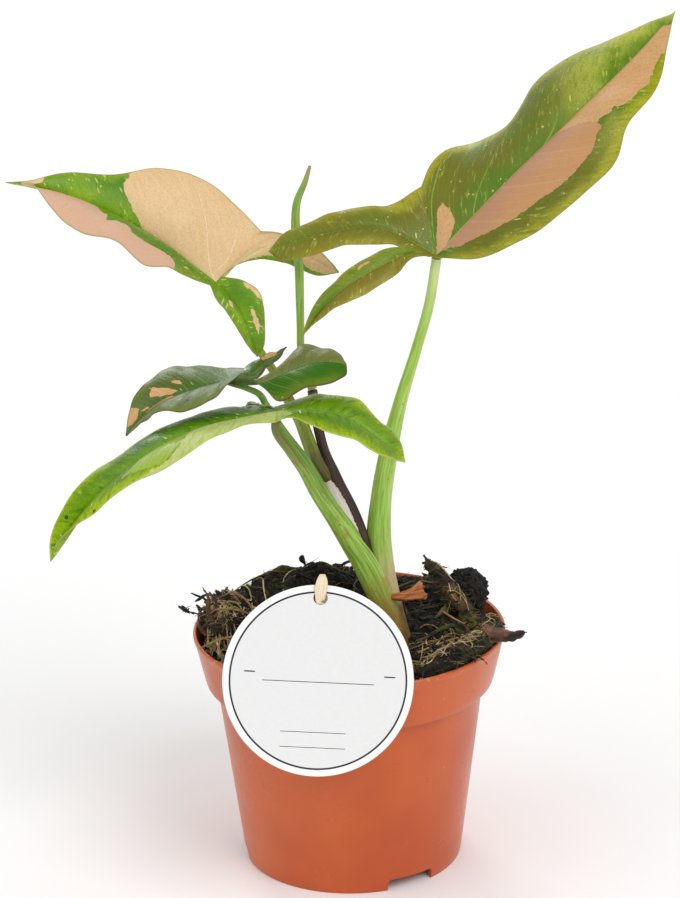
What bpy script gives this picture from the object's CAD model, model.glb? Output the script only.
"""Potted arrowhead plant: four variegated blades on slim stalks, peat, litter, a card tag, a pot.

Shapes are drawn in millimetres around the pot's axis, with the pot's foot at zero height.
Finished meshes are in metres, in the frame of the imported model, so every piece sits at the
origin and carries its place in its mesh. A blade's points are counted along its rib (u) and
from the rib to the margin (v), which is also how the outlines of its light patches are given.
"""

import logging
import math
import random
from contextlib import contextmanager
from dataclasses import dataclass, field, replace
from enum import Enum
from typing import Iterator, Optional, Sequence, Union

import bmesh
import bpy
import numpy as np
from mathutils import Matrix, Vector, noise
from mathutils.bvhtree import BVHTree


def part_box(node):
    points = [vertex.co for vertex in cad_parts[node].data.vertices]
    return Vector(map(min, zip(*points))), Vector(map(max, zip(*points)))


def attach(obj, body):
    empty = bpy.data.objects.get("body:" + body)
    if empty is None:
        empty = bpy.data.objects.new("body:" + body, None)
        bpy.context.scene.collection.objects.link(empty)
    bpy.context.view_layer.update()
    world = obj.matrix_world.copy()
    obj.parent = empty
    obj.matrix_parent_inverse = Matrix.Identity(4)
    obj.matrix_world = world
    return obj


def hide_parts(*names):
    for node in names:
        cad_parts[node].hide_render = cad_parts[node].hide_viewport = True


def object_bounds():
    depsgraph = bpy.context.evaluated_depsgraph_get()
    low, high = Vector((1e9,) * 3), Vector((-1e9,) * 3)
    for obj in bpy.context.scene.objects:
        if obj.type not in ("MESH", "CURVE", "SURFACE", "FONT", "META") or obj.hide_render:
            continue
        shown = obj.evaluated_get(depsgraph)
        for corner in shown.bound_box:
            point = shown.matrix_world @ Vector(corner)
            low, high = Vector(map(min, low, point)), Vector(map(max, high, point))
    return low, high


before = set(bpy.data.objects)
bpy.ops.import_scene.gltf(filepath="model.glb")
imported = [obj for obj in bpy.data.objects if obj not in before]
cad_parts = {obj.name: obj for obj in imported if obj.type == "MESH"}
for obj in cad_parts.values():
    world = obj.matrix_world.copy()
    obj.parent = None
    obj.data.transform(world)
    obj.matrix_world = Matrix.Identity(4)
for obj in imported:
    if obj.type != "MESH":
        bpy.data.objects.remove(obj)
CAD_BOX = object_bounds()
log = logging.getLogger("arrowhead plant")

MM = 0.001
Point = Sequence[float]
Colour = tuple[int, int, int]
Socket = bpy.types.NodeSocket
Value = Union[float, tuple, Socket]
Seat = tuple[np.ndarray, np.ndarray]


class Domain(Enum):
    """Where a mesh keeps a field's values."""

    POINT = "POINT"
    CORNER = "CORNER"


class Side(Enum):
    """The half of a lobe, seen from the upper face with the tip pointing up."""

    LEFT = 1
    RIGHT = -1


class Tint(Enum):
    """The two light colours of a blade, each by the name of its field."""

    FIRST = "patch"
    SECOND = "second"


# ---------------------------------------------------------------- shapes


def smooth_line(points: Sequence[Point], count: int) -> np.ndarray:
    """Evenly spaced points along a smooth curve.

    Args:
        points: the curve's points; columns after the third are carried along.
        count: how many equal steps the curve is cut into.

    Returns:
        An array of count + 1 rows.
    """
    knots = np.array(points, float)
    steps = np.linalg.norm(np.diff(knots, axis=0), axis=1)
    slopes = np.diff(knots, axis=0) / steps[:, None]
    inner = slopes[1:] * steps[:-1, None] + slopes[:-1] * steps[1:, None]
    inner /= (steps[1:] + steps[:-1])[:, None]
    tangents = np.vstack([slopes[:1], inner, slopes[-1:]])
    t = np.linspace(0, 1, 40, endpoint=False)[:, None]
    fine = []
    for k, step in enumerate(steps):
        fine.append(
            (2 * t**3 - 3 * t**2 + 1) * knots[k]
            + (t**3 - 2 * t**2 + t) * step * tangents[k]
            + (3 * t**2 - 2 * t**3) * knots[k + 1]
            + (t**3 - t**2) * step * tangents[k + 1]
        )
    line = np.vstack(fine + [knots[-1:]])
    run = np.r_[0, np.cumsum(np.linalg.norm(np.diff(line[:, :3], axis=0), axis=1))]
    at = np.linspace(0, run[-1], count + 1)
    return np.stack([np.interp(at, run, line[:, c]) for c in range(line.shape[1])], axis=1)


def unit(vectors: np.ndarray) -> np.ndarray:
    """Vectors, in the last axis, at length one."""
    return vectors / np.maximum(np.linalg.norm(vectors, axis=-1, keepdims=True), 1e-9)


def ease(value: np.ndarray, low: float, high: float) -> np.ndarray:
    """Smooth step from zero at low to one at high."""
    part = np.clip((value - low) / (high - low), 0, 1)
    return part * part * (3 - 2 * part)


def point_normals(points: np.ndarray, triangles: np.ndarray) -> np.ndarray:
    """Area-weighted normals at the points of a sheet."""
    corners = points[triangles]
    faces = np.cross(corners[:, 1] - corners[:, 0], corners[:, 2] - corners[:, 0])
    normals = np.zeros_like(points)
    for corner in range(3):
        np.add.at(normals, triangles[:, corner], faces)
    return unit(normals)


def rough_noise(points: np.ndarray, scale: float, seed: float) -> np.ndarray:
    """Noise from about -1 to 1 at points in millimetres, with features 1 / scale wide."""
    shift = Vector((seed, seed * 0.37, -seed))
    return np.array([noise.noise(Vector(p) * scale + shift) for p in points])


def turns(sides: int) -> np.ndarray:
    """Angles of evenly spaced places round a circle."""
    return 2 * math.pi * np.arange(sides) / sides


def tube_faces(rings: int, sides: int, start: int = 0) -> list[tuple[int, ...]]:
    """Faces of a closed tube whose points lie ring by ring, from the number start on."""
    faces, end = [], start + rings * sides
    for low in range(start, end, sides):
        for s in range(sides):
            a, b = low + s, low + (s + 1) % sides
            faces.append((a, b, b + sides, a + sides))
    return faces + [tuple(range(start, start + sides))[::-1], tuple(range(end, end + sides))]


def linked(name: str, data: bpy.types.ID) -> bpy.types.Object:
    """A new object that holds the data, linked to the scene."""
    obj = bpy.data.objects.new(name, data)
    bpy.context.scene.collection.objects.link(obj)
    return obj


@contextmanager
def opened(data: bpy.types.Mesh) -> Iterator[bmesh.types.BMesh]:
    """A mesh opened for editing, which is written back when the block ends."""
    shape = bmesh.new()
    shape.from_mesh(data)
    shape.verts.ensure_lookup_table()
    yield shape
    shape.to_mesh(data)
    shape.free()


def read(data: bpy.types.Mesh, what: str) -> np.ndarray:
    """The place ("co") or the normal of every point of a mesh."""
    values = np.zeros(len(data.vertices) * 3)
    data.vertices.foreach_get(what, values)
    return values.reshape(-1, 3)


@dataclass
class Room:
    """Where litter may lie: inside the pot or above its rim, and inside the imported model's box."""

    shift: np.ndarray
    wall: float = 58.2
    slope: float = 0.226
    top: float = 92.9
    over: float = 93.3
    reach: float = 66.0
    clear: float = 0.0003

    def holds(self, points: np.ndarray) -> np.ndarray:
        """Which of the points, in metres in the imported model's frame, lie in the room."""
        low, high = (np.array(tuple(corner)) for corner in CAD_BOX)
        inner = np.all((points > low + self.clear) & (points < high - self.clear), axis=1)
        local = (points - self.shift) / MM
        reach = np.hypot(local[:, 0], local[:, 1])
        inside = reach < self.wall - self.slope * np.maximum(0, self.top - local[:, 2])
        return inner & (inside | ((local[:, 2] > self.over) & (reach < self.reach)))

    def trim(self, data: bpy.types.Mesh, size: int) -> None:
        """Drop every grown bit that leaves the room.

        Args:
            data: the grown mesh, whose bits follow one another.
            size: how many points one bit has.
        """
        good = self.holds(read(data, "co")).reshape(-1, size).all(axis=1)
        with opened(data) as shape:
            lost = [shape.verts[int(i)] for i in np.flatnonzero(np.repeat(~good, size))]
            bmesh.ops.delete(shape, geom=lost, context="VERTS")


class Shop:
    """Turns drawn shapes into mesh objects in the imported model's frame."""

    def __init__(self) -> None:
        """Find where the pot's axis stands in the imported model."""
        low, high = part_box("pot")
        self.shift = np.array([(low.x + high.x) / 2, (low.y + high.y) / 2, 0.0])
        self.room = Room(self.shift)

    def mesh(self, name: str, points: np.ndarray, faces: Sequence, sharp: float = 45.0) -> bpy.types.Object:
        """Make a mesh object.

        Args:
            name: the piece's name.
            points: points in millimetres around the pot's axis.
            faces: point numbers of each face.
            sharp: the angle in degrees from which an edge is shaded sharp.

        Returns:
            The new object, linked to the scene.
        """
        data = bpy.data.meshes.new(name)
        placed = np.asarray(points, float) * MM + self.shift
        data.from_pydata(placed.tolist(), [], [tuple(int(i) for i in f) for f in faces])
        data.shade_smooth()
        data.set_sharp_from_angle(angle=math.radians(sharp))
        return linked(name, data)

    @staticmethod
    def copy_of(node: str, name: str) -> bpy.types.Object:
        """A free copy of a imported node, its split corners joined again."""
        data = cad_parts[node].data.copy()
        with opened(data) as shape:
            bmesh.ops.remove_doubles(shape, verts=shape.verts, dist=0.00001)
        data.materials.clear()
        return linked(name, data)

    @staticmethod
    def baked(obj: bpy.types.Object) -> bpy.types.Object:
        """Replace an object's mesh by what its modifiers make, and drop the modifiers."""
        graph = bpy.context.evaluated_depsgraph_get()
        data = bpy.data.meshes.new_from_object(obj.evaluated_get(graph))
        data.name = obj.name
        obj.modifiers.clear()
        obj.data = data
        return obj

    @staticmethod
    def keep(obj: bpy.types.Object, name: str, values: np.ndarray, domain: Domain) -> None:
        """Store a field on a mesh.

        Args:
            obj: the mesh object.
            name: the field's name, which the finishes read.
            values: one number, or three, for each point or corner.
            domain: where the values belong.
        """
        values = np.asarray(values, np.float32)
        kind, socket = ("FLOAT_VECTOR", "vector") if values.ndim == 2 else ("FLOAT", "value")
        layer = obj.data.attributes.new(name, kind, domain.value)
        layer.data.foreach_set(socket, values.ravel())

    @staticmethod
    def declare(obj: bpy.types.Object, material: bpy.types.Material, node: str) -> None:
        """Dress a piece and say what it stands for.

        Args:
            obj: the finished piece.
            material: its finish.
            node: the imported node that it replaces, alone or with others.
        """
        obj.data.materials.clear()
        obj.data.materials.append(material)
        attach(obj, "root")
        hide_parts(node)
        log.info("%s: %d faces for %s", obj.name, len(obj.data.polygons), node)

    def lay(self, name: str, paths: Sequence, tube: "Tube", material: bpy.types.Material, node: str) -> None:
        """Make and dress one tube for each path, with numbers added to the name.

        Args:
            name: the pieces' name.
            paths: the points of each tube.
            tube: a tube of the wanted fineness and roughness.
            material: their finish.
            node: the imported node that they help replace.
        """
        for number, path in enumerate(paths):
            made = replace(tube, points=path).build(self, f"{name}_{number}")
            self.declare(made, material, node)

    def strew(self, bits: Union["Crumbs", "Fibres"], base: bpy.types.Object, name: str,
              finish: "TonedFinish", node: str) -> None:
        """Grow loose bits on a piece, drop those outside the room, and dress the rest.

        Args:
            bits: the bits' sizes.
            base: the piece that they lie on.
            name: the new piece's name.
            finish: their finish.
            node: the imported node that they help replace.
        """
        material = finish.build()
        grown = bits.tree().grow(base, name, {**bits.sizes(), "Material": material})
        self.room.trim(grown.data, bits.points)
        self.declare(grown, material, node)


@dataclass
class Sheet:
    """A thin sheet: points, triangles, and fields kept for each corner of each triangle."""

    points: np.ndarray
    triangles: np.ndarray
    corners: np.ndarray
    ridge: np.ndarray
    fields: dict[str, np.ndarray]
    slim: Optional[np.ndarray] = None

    def solid(self, shop: Shop, name: str, thickness: float) -> bpy.types.Object:
        """Close the sheet around its middle, with its fields and the field "under".

        Args:
            shop: makes the mesh.
            name: the piece's name.
            thickness: distance between the two faces in millimetres.

        Returns:
            The closed mesh object.
        """
        normals = point_normals(self.points, self.triangles)
        half = thickness / 2 * (self.slim if self.slim is not None else np.ones(len(self.points)))
        both = np.vstack([self.points + normals * half[:, None],
                          self.points - normals * (half + self.ridge)[:, None]])
        under = len(self.points)
        faces = [self.triangles, self.triangles[:, ::-1] + under]
        local = [self.corners, self.corners[:, ::-1]]
        below = [np.zeros(self.triangles.shape), np.ones(self.triangles.shape)]
        pairs = {}
        for triangle, corner in zip(self.triangles.tolist(), self.corners.tolist()):
            for k in range(3):
                pairs[(triangle[k], triangle[(k + 1) % 3])] = (corner[k], corner[(k + 1) % 3])
        rim, rim_local, rim_below = [], [], []
        for (a, b), (p, q) in pairs.items():
            if (b, a) not in pairs:
                rim += [(b, a, a + under), (b, a + under, b + under)]
                rim_local += [(q, p, p), (q, p, q)]
                rim_below += [(0, 0, 1), (0, 1, 1)]
        faces.append(np.array(rim))
        local.append(np.array(rim_local))
        below.append(np.array(rim_below))
        obj = shop.mesh(name, both, np.vstack(faces), 60.0)
        order = np.vstack(local).ravel()
        for key, values in self.fields.items():
            shop.keep(obj, key, values[order], Domain.CORNER)
        shop.keep(obj, "under", np.vstack(below).ravel(), Domain.CORNER)
        return obj


def grid_sheet(grid: np.ndarray) -> Sheet:
    """A sheet from rows of points, with the fields "run" from 0 to 1 and "span" from -1 to 1."""
    rows, wide = grid.shape[:2]
    a = (np.arange(rows - 1)[:, None] * wide + np.arange(wide - 1)[None]).ravel()
    triangles = np.vstack([np.stack([a, a + 1, a + wide + 1], 1), np.stack([a, a + wide + 1, a + wide], 1)])
    fields = {"run": np.repeat(np.linspace(0, 1, rows), wide),
              "span": np.tile(np.linspace(-1, 1, wide), rows)}
    return Sheet(grid.reshape(-1, 3), triangles, triangles, np.zeros(rows * wide), fields)


def strip_sheet(points: Sequence[Point], widths: Sequence[float], facing: Sequence[Point],
                steps: int, cup: float = 0.0, ragged: float = 0.0) -> Sheet:
    """A curved strip through points.

    Args:
        points: the strip's middle line.
        widths: its width at each point.
        facing: the direction in which its face looks at each point.
        steps: how many rows of faces it has.
        cup: how far its edges rise, as a share of its width.
        ragged: how far its edges wander, as a share of its width.

    Returns:
        The strip as a sheet.
    """
    line = smooth_line([(*p, w, *f) for p, w, f in zip(points, widths, facing)], steps)
    way = unit(np.gradient(line[:, :3], axis=0))
    face = unit(line[:, 4:] - way * np.sum(line[:, 4:] * way, axis=1)[:, None])
    side = np.cross(way, face)
    spans = np.linspace(-1, 1, 13)
    wide = np.repeat(line[:, 3:4], 13, axis=1)
    if ragged:
        for sign in (-1, 1):
            wander = rough_noise(line[:, :3] + side * sign * 9, 0.9, 4.0 + sign)
            wide *= 1 + ragged * wander[:, None] * (np.sign(spans) == sign) * np.abs(spans) ** 3
    return grid_sheet(line[:, None, :3] + side[:, None] * spans[None, :, None] * wide[:, :, None] / 2
                      + face[:, None] * (cup * line[:, 3:4] * (spans**2 - 0.5))[:, :, None])


@dataclass
class Tube:
    """A stalk, stem, root or strip of bark: a closed tube through points with radii.

    Its seat, if it has one, is the place and normal at which it meets a blade. The twist is in
    radians to a millimetre, and stretch draws the streaks out along it.
    """

    points: Sequence[Point]
    rings: int = 120
    sides: int = 24
    seat: Optional[Seat] = None
    flute: float = 0.0
    flutes: int = 5
    roll: float = 0.0
    rough: float = 0.0
    grain: float = 0.3
    twist: float = 0.02
    stretch: float = 0.045

    def build(self, shop: Shop, name: str) -> bpy.types.Object:
        """Make the tube with the fields "run" in millimetres and "grain" for streaks.

        Args:
            shop: makes the mesh.
            name: the piece's name.

        Returns:
            The closed mesh object.
        """
        points = list(self.points)
        if self.seat is not None:
            points = [(*self.seat[0], points[0][3] * 0.95)] + points
        line = smooth_line(points, self.rings)
        middle = line[:, :3]
        along = unit(np.gradient(middle, axis=0))
        length = np.r_[0, np.cumsum(np.linalg.norm(np.diff(middle, axis=0), axis=1))]
        side = unit(np.cross(along[0], (0.13, 0.97, 0.2)))
        angle = turns(self.sides)
        fluted = 1 + self.flute * np.cos(self.flutes * angle)
        rows = []
        for k in range(self.rings + 1):
            side = unit(side - along[k] * np.dot(side, along[k]))
            other = np.cross(along[k], side)
            turn = angle - length[k] * self.twist
            radius = line[k, 3] * fluted * (1 + self.roll * ((turn / (2 * math.pi)) % 1.0))
            out = side * np.cos(angle)[:, None] + other * np.sin(angle)[:, None]
            row = middle[k] + out * radius[:, None]
            if self.seat is not None and k == 0:
                slope = np.dot(along[0], self.seat[1])
                row += along[0] * (((self.seat[0] - row) @ self.seat[1]) / slope)[:, None]
            rows.append(row)
        grid = np.vstack(rows)
        if self.rough:
            away = unit(grid - np.repeat(middle, self.sides, axis=0))
            lumps = rough_noise(grid, self.grain, 2.0) + 0.5 * rough_noise(grid, self.grain * 3, 6.0)
            grid = grid + away * (lumps * self.rough)[:, None]
        obj = shop.mesh(name, grid, tube_faces(self.rings, self.sides), 50.0)
        run, wide = np.repeat(length, self.sides), line[:, 3].mean()
        around = [np.tile(turned(angle) * wide, self.rings + 1) for turned in (np.cos, np.sin)]
        shop.keep(obj, "run", run, Domain.POINT)
        shop.keep(obj, "grain", np.stack([*around, run * self.stretch], axis=1), Domain.POINT)
        return obj


# ---------------------------------------------------------------- node helpers


def shade(colour: Colour) -> tuple[float, float, float, float]:
    """A colour given as on a screen, in the linear form that shaders take."""
    return (*(((c / 255 + 0.055) / 1.055) ** 2.4 if c > 10 else c / 255 / 12.92 for c in colour), 1.0)


class Wiring:
    """Adds nodes to a tree in few words."""

    def __init__(self, tree: bpy.types.NodeTree) -> None:
        """Start on a tree."""
        self.tree = tree

    def put(self, socket: Socket, value: object) -> None:
        """Link a socket to another, or set its own value."""
        if isinstance(value, Socket):
            self.tree.links.new(value, socket)
        else:
            socket.default_value = value

    def node(self, kind: str, inputs: Optional[dict] = None, **settings: object) -> bpy.types.Node:
        """Add a node.

        Args:
            kind: its type; a leading ShaderNode is left out.
            inputs: values or sockets by input name or number.
            settings: the node's own options.

        Returns:
            The node.
        """
        made = self.tree.nodes.new(kind if "Node" in kind else "ShaderNode" + kind)
        for key, value in settings.items():
            setattr(made, key, value)
        for key, value in (inputs or {}).items():
            self.put(made.inputs[key], value)
        return made

    def math(self, kind: str, a: Value, b: Value = 0.0, clamp: bool = False) -> Socket:
        """A sum, product or other operation on two numbers."""
        return self.node("Math", {0: a, 1: b}, operation=kind, use_clamp=clamp).outputs[0]

    def times(self, a: Value, b: Value) -> Socket:
        """The product of two numbers."""
        return self.math("MULTIPLY", a, b)


class Finish(Wiring):
    """Builds the nodes of one material in few words."""

    def __init__(self, name: str) -> None:
        """Start a material with its Principled shader."""
        self.material = bpy.data.materials.new(name)
        self.material.use_nodes = True
        super().__init__(self.material.node_tree)
        self.shader = self.tree.nodes["Principled BSDF"]

    def surface(self, **inputs: Value) -> bpy.types.Material:
        """Set the shader's inputs, their names written with underscores, and return the material."""
        for key, value in inputs.items():
            self.put(self.shader.inputs[key.replace("_", " ")], value)
        return self.material

    def field(self, name: str) -> Socket:
        """A number kept on the mesh."""
        return self.node("Attribute", attribute_name=name).outputs["Fac"]

    def vector(self, name: str) -> Socket:
        """Three numbers kept on the mesh."""
        return self.node("Attribute", attribute_name=name).outputs["Vector"]

    def place(self) -> Socket:
        """The surface's place in metres."""
        return self.node("TexCoord").outputs["Object"]

    def height(self) -> Socket:
        """The surface's height above the ground in metres."""
        return self.node("SeparateXYZ", {0: self.place()}).outputs["Z"]

    def step(self, value: Value, low: float, high: float, start: float = 0.0, end: float = 1.0) -> Socket:
        """Smooth change from start, where value is low, to end, where it is high."""
        spread = {"Value": value, "From Min": low, "From Max": high, "To Min": start, "To Max": end}
        if low > high:
            spread.update({"From Min": high, "From Max": low, "To Min": end, "To Max": start})
        return self.node("MapRange", spread, interpolation_type="SMOOTHSTEP").outputs["Result"]

    def blend(self, share: Value, first: Value, second: Value) -> Socket:
        """Mix of two colours, each a socket or a colour as on a screen."""
        first, second = (shade(c) if isinstance(c, tuple) else c for c in (first, second))
        return self.node("Mix", {0: share, 6: first, 7: second}, data_type="RGBA").outputs[2]

    def cloud(self, scale: float, detail: float = 3.0, where: Optional[Socket] = None) -> Socket:
        """Noise from 0 to 1."""
        inputs = {"Vector": where or self.place(), "Scale": scale, "Detail": detail}
        return self.node("TexNoise", inputs).outputs["Fac"]

    def swing(self, cloud: Socket, reach: float) -> Socket:
        """Noise moved to lie around zero, times its reach."""
        return self.times(self.math("SUBTRACT", cloud, 0.5), reach)

    def specks(self, scale: float, size: float, share: float, where: Optional[Socket] = None) -> Socket:
        """Scattered round specks.

        Args:
            scale: cells to a metre.
            size: a speck's greatest radius as a share of its cell.
            share: how many of the cells hold one.
            where: the coordinates, by default the surface's place.

        Returns:
            A mask that is one inside the specks.
        """
        cells = self.node("TexVoronoi", {"Vector": where or self.place(), "Scale": scale})
        chance = self.node("SeparateColor", {0: cells.outputs["Color"]})
        reach = self.times(chance.outputs[1], size)
        inside = self.step(self.math("SUBTRACT", cells.outputs["Distance"], reach), 0.03, -0.03)
        return self.times(inside, self.math("LESS_THAN", chance.outputs[0], share))

    def relief(self, height: Value, strength: float, depth: float) -> Socket:
        """Bump from a height field; depth in metres."""
        bump = self.node("Bump", {"Height": height, "Strength": strength, "Distance": depth})
        return bump.outputs["Normal"]


class Growth(Wiring):
    """Builds a geometry tree with named inputs and grows it on an object."""

    def __init__(self, name: str) -> None:
        """Start a tree with a geometry input and output."""
        super().__init__(bpy.data.node_groups.new(name, "GeometryNodeTree"))
        for way in ("INPUT", "OUTPUT"):
            self.tree.interface.new_socket("Geometry", in_out=way, socket_type="NodeSocketGeometry")
        self.input = self.tree.nodes.new("NodeGroupInput")
        self.output = self.tree.nodes.new("NodeGroupOutput")

    def size(self, name: str, kind: str = "Float") -> Socket:
        """A named input."""
        self.tree.interface.new_socket(name, in_out="INPUT", socket_type="NodeSocket" + kind)
        return self.input.outputs[name]

    def vector(self, kind: str, inputs: dict) -> Socket:
        """An operation on vectors, its inputs by number."""
        return self.node("VectorMath", inputs, operation=kind).outputs[0]

    def combined(self, x: Value, y: Value, z: Value) -> Socket:
        """A vector from three numbers."""
        return self.node("CombineXYZ", {"X": x, "Y": y, "Z": z}).outputs[0]

    def random(self, low: Value, high: Value, seed: int, vector: bool = False) -> Socket:
        """A random number, or vector, for each element."""
        kind = "FLOAT_VECTOR" if vector else "FLOAT"
        first = 0 if vector else 2
        made = self.node("FunctionNodeRandomValue", {first: low, first + 1: high, "Seed": seed},
                         data_type=kind)
        return made.outputs[0 if vector else 1]

    def scatter(self, density: Socket, seed: int, tone_seed: int) -> Socket:
        """Points strewn over the surface, each with a random "tone"."""
        spread = self.node("GeometryNodeDistributePointsOnFaces",
                           {"Mesh": self.input.outputs[0], "Density": density, "Seed": seed})
        return self.node("GeometryNodeStoreNamedAttribute",
                         {"Geometry": spread.outputs["Points"], "Name": "tone",
                          "Value": self.random(0.0, 1.0, tone_seed)},
                         data_type="FLOAT", domain="POINT").outputs[0]

    def copies(self, points: Socket, shape: Socket, turn: Socket, scale: Socket) -> Socket:
        """A turned and scaled copy of a shape on every point."""
        return self.node("GeometryNodeInstanceOnPoints",
                         {"Points": points, "Instance": shape, "Rotation": turn, "Scale": scale}).outputs[0]

    def close(self, geometry: Socket, material: Socket) -> None:
        """End the tree in Realize Instances and Set Material."""
        real = self.node("GeometryNodeRealizeInstances", {0: geometry})
        dressed = self.node("GeometryNodeSetMaterial", {"Geometry": real.outputs[0], "Material": material})
        self.tree.links.new(dressed.outputs[0], self.output.inputs[0])

    def grow(self, base: bpy.types.Object, name: str, sizes: dict[str, object]) -> bpy.types.Object:
        """Grow the tree on a base.

        Args:
            base: the object whose surface it grows on; it is left as it is.
            name: the new piece's name.
            sizes: values by input name.

        Returns:
            The grown piece as a plain mesh.
        """
        obj = linked(name, base.data.copy())
        step = obj.modifiers.new(name, "NODES")
        step.node_group = self.tree
        for item in self.tree.interface.items_tree:
            if item.in_out == "INPUT" and item.name in sizes:
                step[item.identifier] = sizes[item.name]
        return Shop.baked(obj)


# ---------------------------------------------------------------- loose bits


@dataclass(frozen=True)
class Crumbs:
    """Rough crumbs or, when stretched, shards strewn over a surface, each with its own shade.

    Its sizes are bits to a square metre, the smallest and largest in millimetres, how far a bit is
    stretched, and its greatest tilt in radians.
    """

    density: float
    small: float
    large: float
    stretch: float = 1.0
    tilt: float = 3.1
    points: int = 12

    def sizes(self) -> dict[str, float]:
        """The tree's inputs by name."""
        return {"Density": float(self.density), "Smallest": self.small * MM, "Largest": self.large * MM,
                "Stretch": self.stretch, "Tilt": self.tilt}

    def tree(self) -> Growth:
        """The tree that strews them."""
        tree = Growth("crumbs")
        density, small, large = tree.size("Density"), tree.size("Smallest"), tree.size("Largest")
        stretch, tilt = tree.size("Stretch"), tree.size("Tilt")
        material = tree.size("Material", "Material")
        ball = tree.node("GeometryNodeMeshIcoSphere", {"Radius": 1.0, "Subdivisions": 1}).outputs[0]
        size = tree.math("POWER", tree.random(0.0, 1.0, 3), 2.6)
        span = tree.node("MapRange", {"Value": size, 3: small, 4: large}).outputs[0]
        uneven = tree.random((0.55, 0.55, 0.4), (1.2, 1.2, 0.9), 4, True)
        shape = tree.vector("SCALE", {0: uneven, 3: span})
        long = tree.vector("MULTIPLY", {0: shape, 1: tree.combined(stretch, 1.0, 1.0)})
        lean = tree.times(tree.random(-1.0, 1.0, 9), tilt)
        turned = tree.combined(tree.random(0.0, 6.28, 6), lean, tree.random(0.0, 6.28, 7))
        tree.close(tree.copies(tree.scatter(density, 5, 8), ball, turned, long), material)
        return tree


@dataclass(frozen=True)
class Fibres:
    """Bent fibres lying on a surface, each with its own shade, length and bend.

    Its sizes are fibres to a square metre, their usual length and their radius in millimetres, how
    far they rise, and how far they bend as a share of their length.
    """

    density: float
    length: float
    radius: float
    lift: float = 0.5
    bend: float = 1.1
    points: int = 36

    def sizes(self) -> dict[str, float]:
        """The tree's inputs by name."""
        return {"Density": float(self.density), "Length": self.length * MM, "Radius": self.radius * MM,
                "Bend": self.length * self.bend * MM, "Lift": self.lift}

    def tree(self) -> Growth:
        """The tree that grows them."""
        tree = Growth("fibres")
        density, length, radius = tree.size("Density"), tree.size("Length"), tree.size("Radius")
        bend, lift = tree.size("Bend"), tree.size("Lift")
        material = tree.size("Material", "Material")
        line = tree.node("GeometryNodeCurvePrimitiveLine", {"Start": (-0.5, 0, 0), "End": (0.5, 0, 0)})
        cut = tree.node("GeometryNodeResampleCurve", {"Curve": line.outputs[0], "Count": 9}).outputs[0]
        yaw, pitch = tree.random(0.0, 6.283, 3), tree.random(tree.times(lift, -1.0), lift, 4)
        span = tree.times(tree.random(0.35, 1.3, 7), length)
        placed = tree.copies(tree.scatter(density, 12, 2), cut, tree.combined(0.0, pitch, yaw), span)
        real = tree.node("GeometryNodeRealizeInstances", {0: placed})
        own = tree.node("GeometryNodeInputNamedAttribute", {"Name": "tone"}, data_type="FLOAT")
        wave = tree.node("TexNoise", {"W": tree.times(own.outputs[0], 40.0), "Scale": 95.0, "Detail": 1.0},
                         noise_dimensions="4D")
        tree.put(wave.inputs["Vector"], tree.node("GeometryNodeInputPosition").outputs[0])
        level = tree.vector("SUBTRACT", {0: wave.outputs["Color"], 1: (0.5, 0.5, 0.5)})
        push = tree.vector("SCALE", {0: level, 3: bend})
        moved = tree.node("GeometryNodeSetPosition", {"Geometry": real.outputs[0], "Offset": push})
        along = tree.node("GeometryNodeSplineParameter").outputs["Factor"]
        sine = tree.math("SINE", tree.times(along, math.pi))
        taper = tree.node("MapRange", {"Value": sine, 3: 0.3, 4: 1.0}).outputs[0]
        thick = tree.node("GeometryNodeSetCurveRadius", {"Curve": moved.outputs[0], "Radius": taper})
        ring = tree.node("GeometryNodeCurvePrimitiveCircle", {"Resolution": 4, "Radius": radius})
        tube = tree.node("GeometryNodeCurveToMesh", {"Curve": thick.outputs[0], "Scale": taper,
                                                     "Profile Curve": ring.outputs[0], "Fill Caps": True})
        tree.close(tube.outputs[0], material)
        return tree


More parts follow.
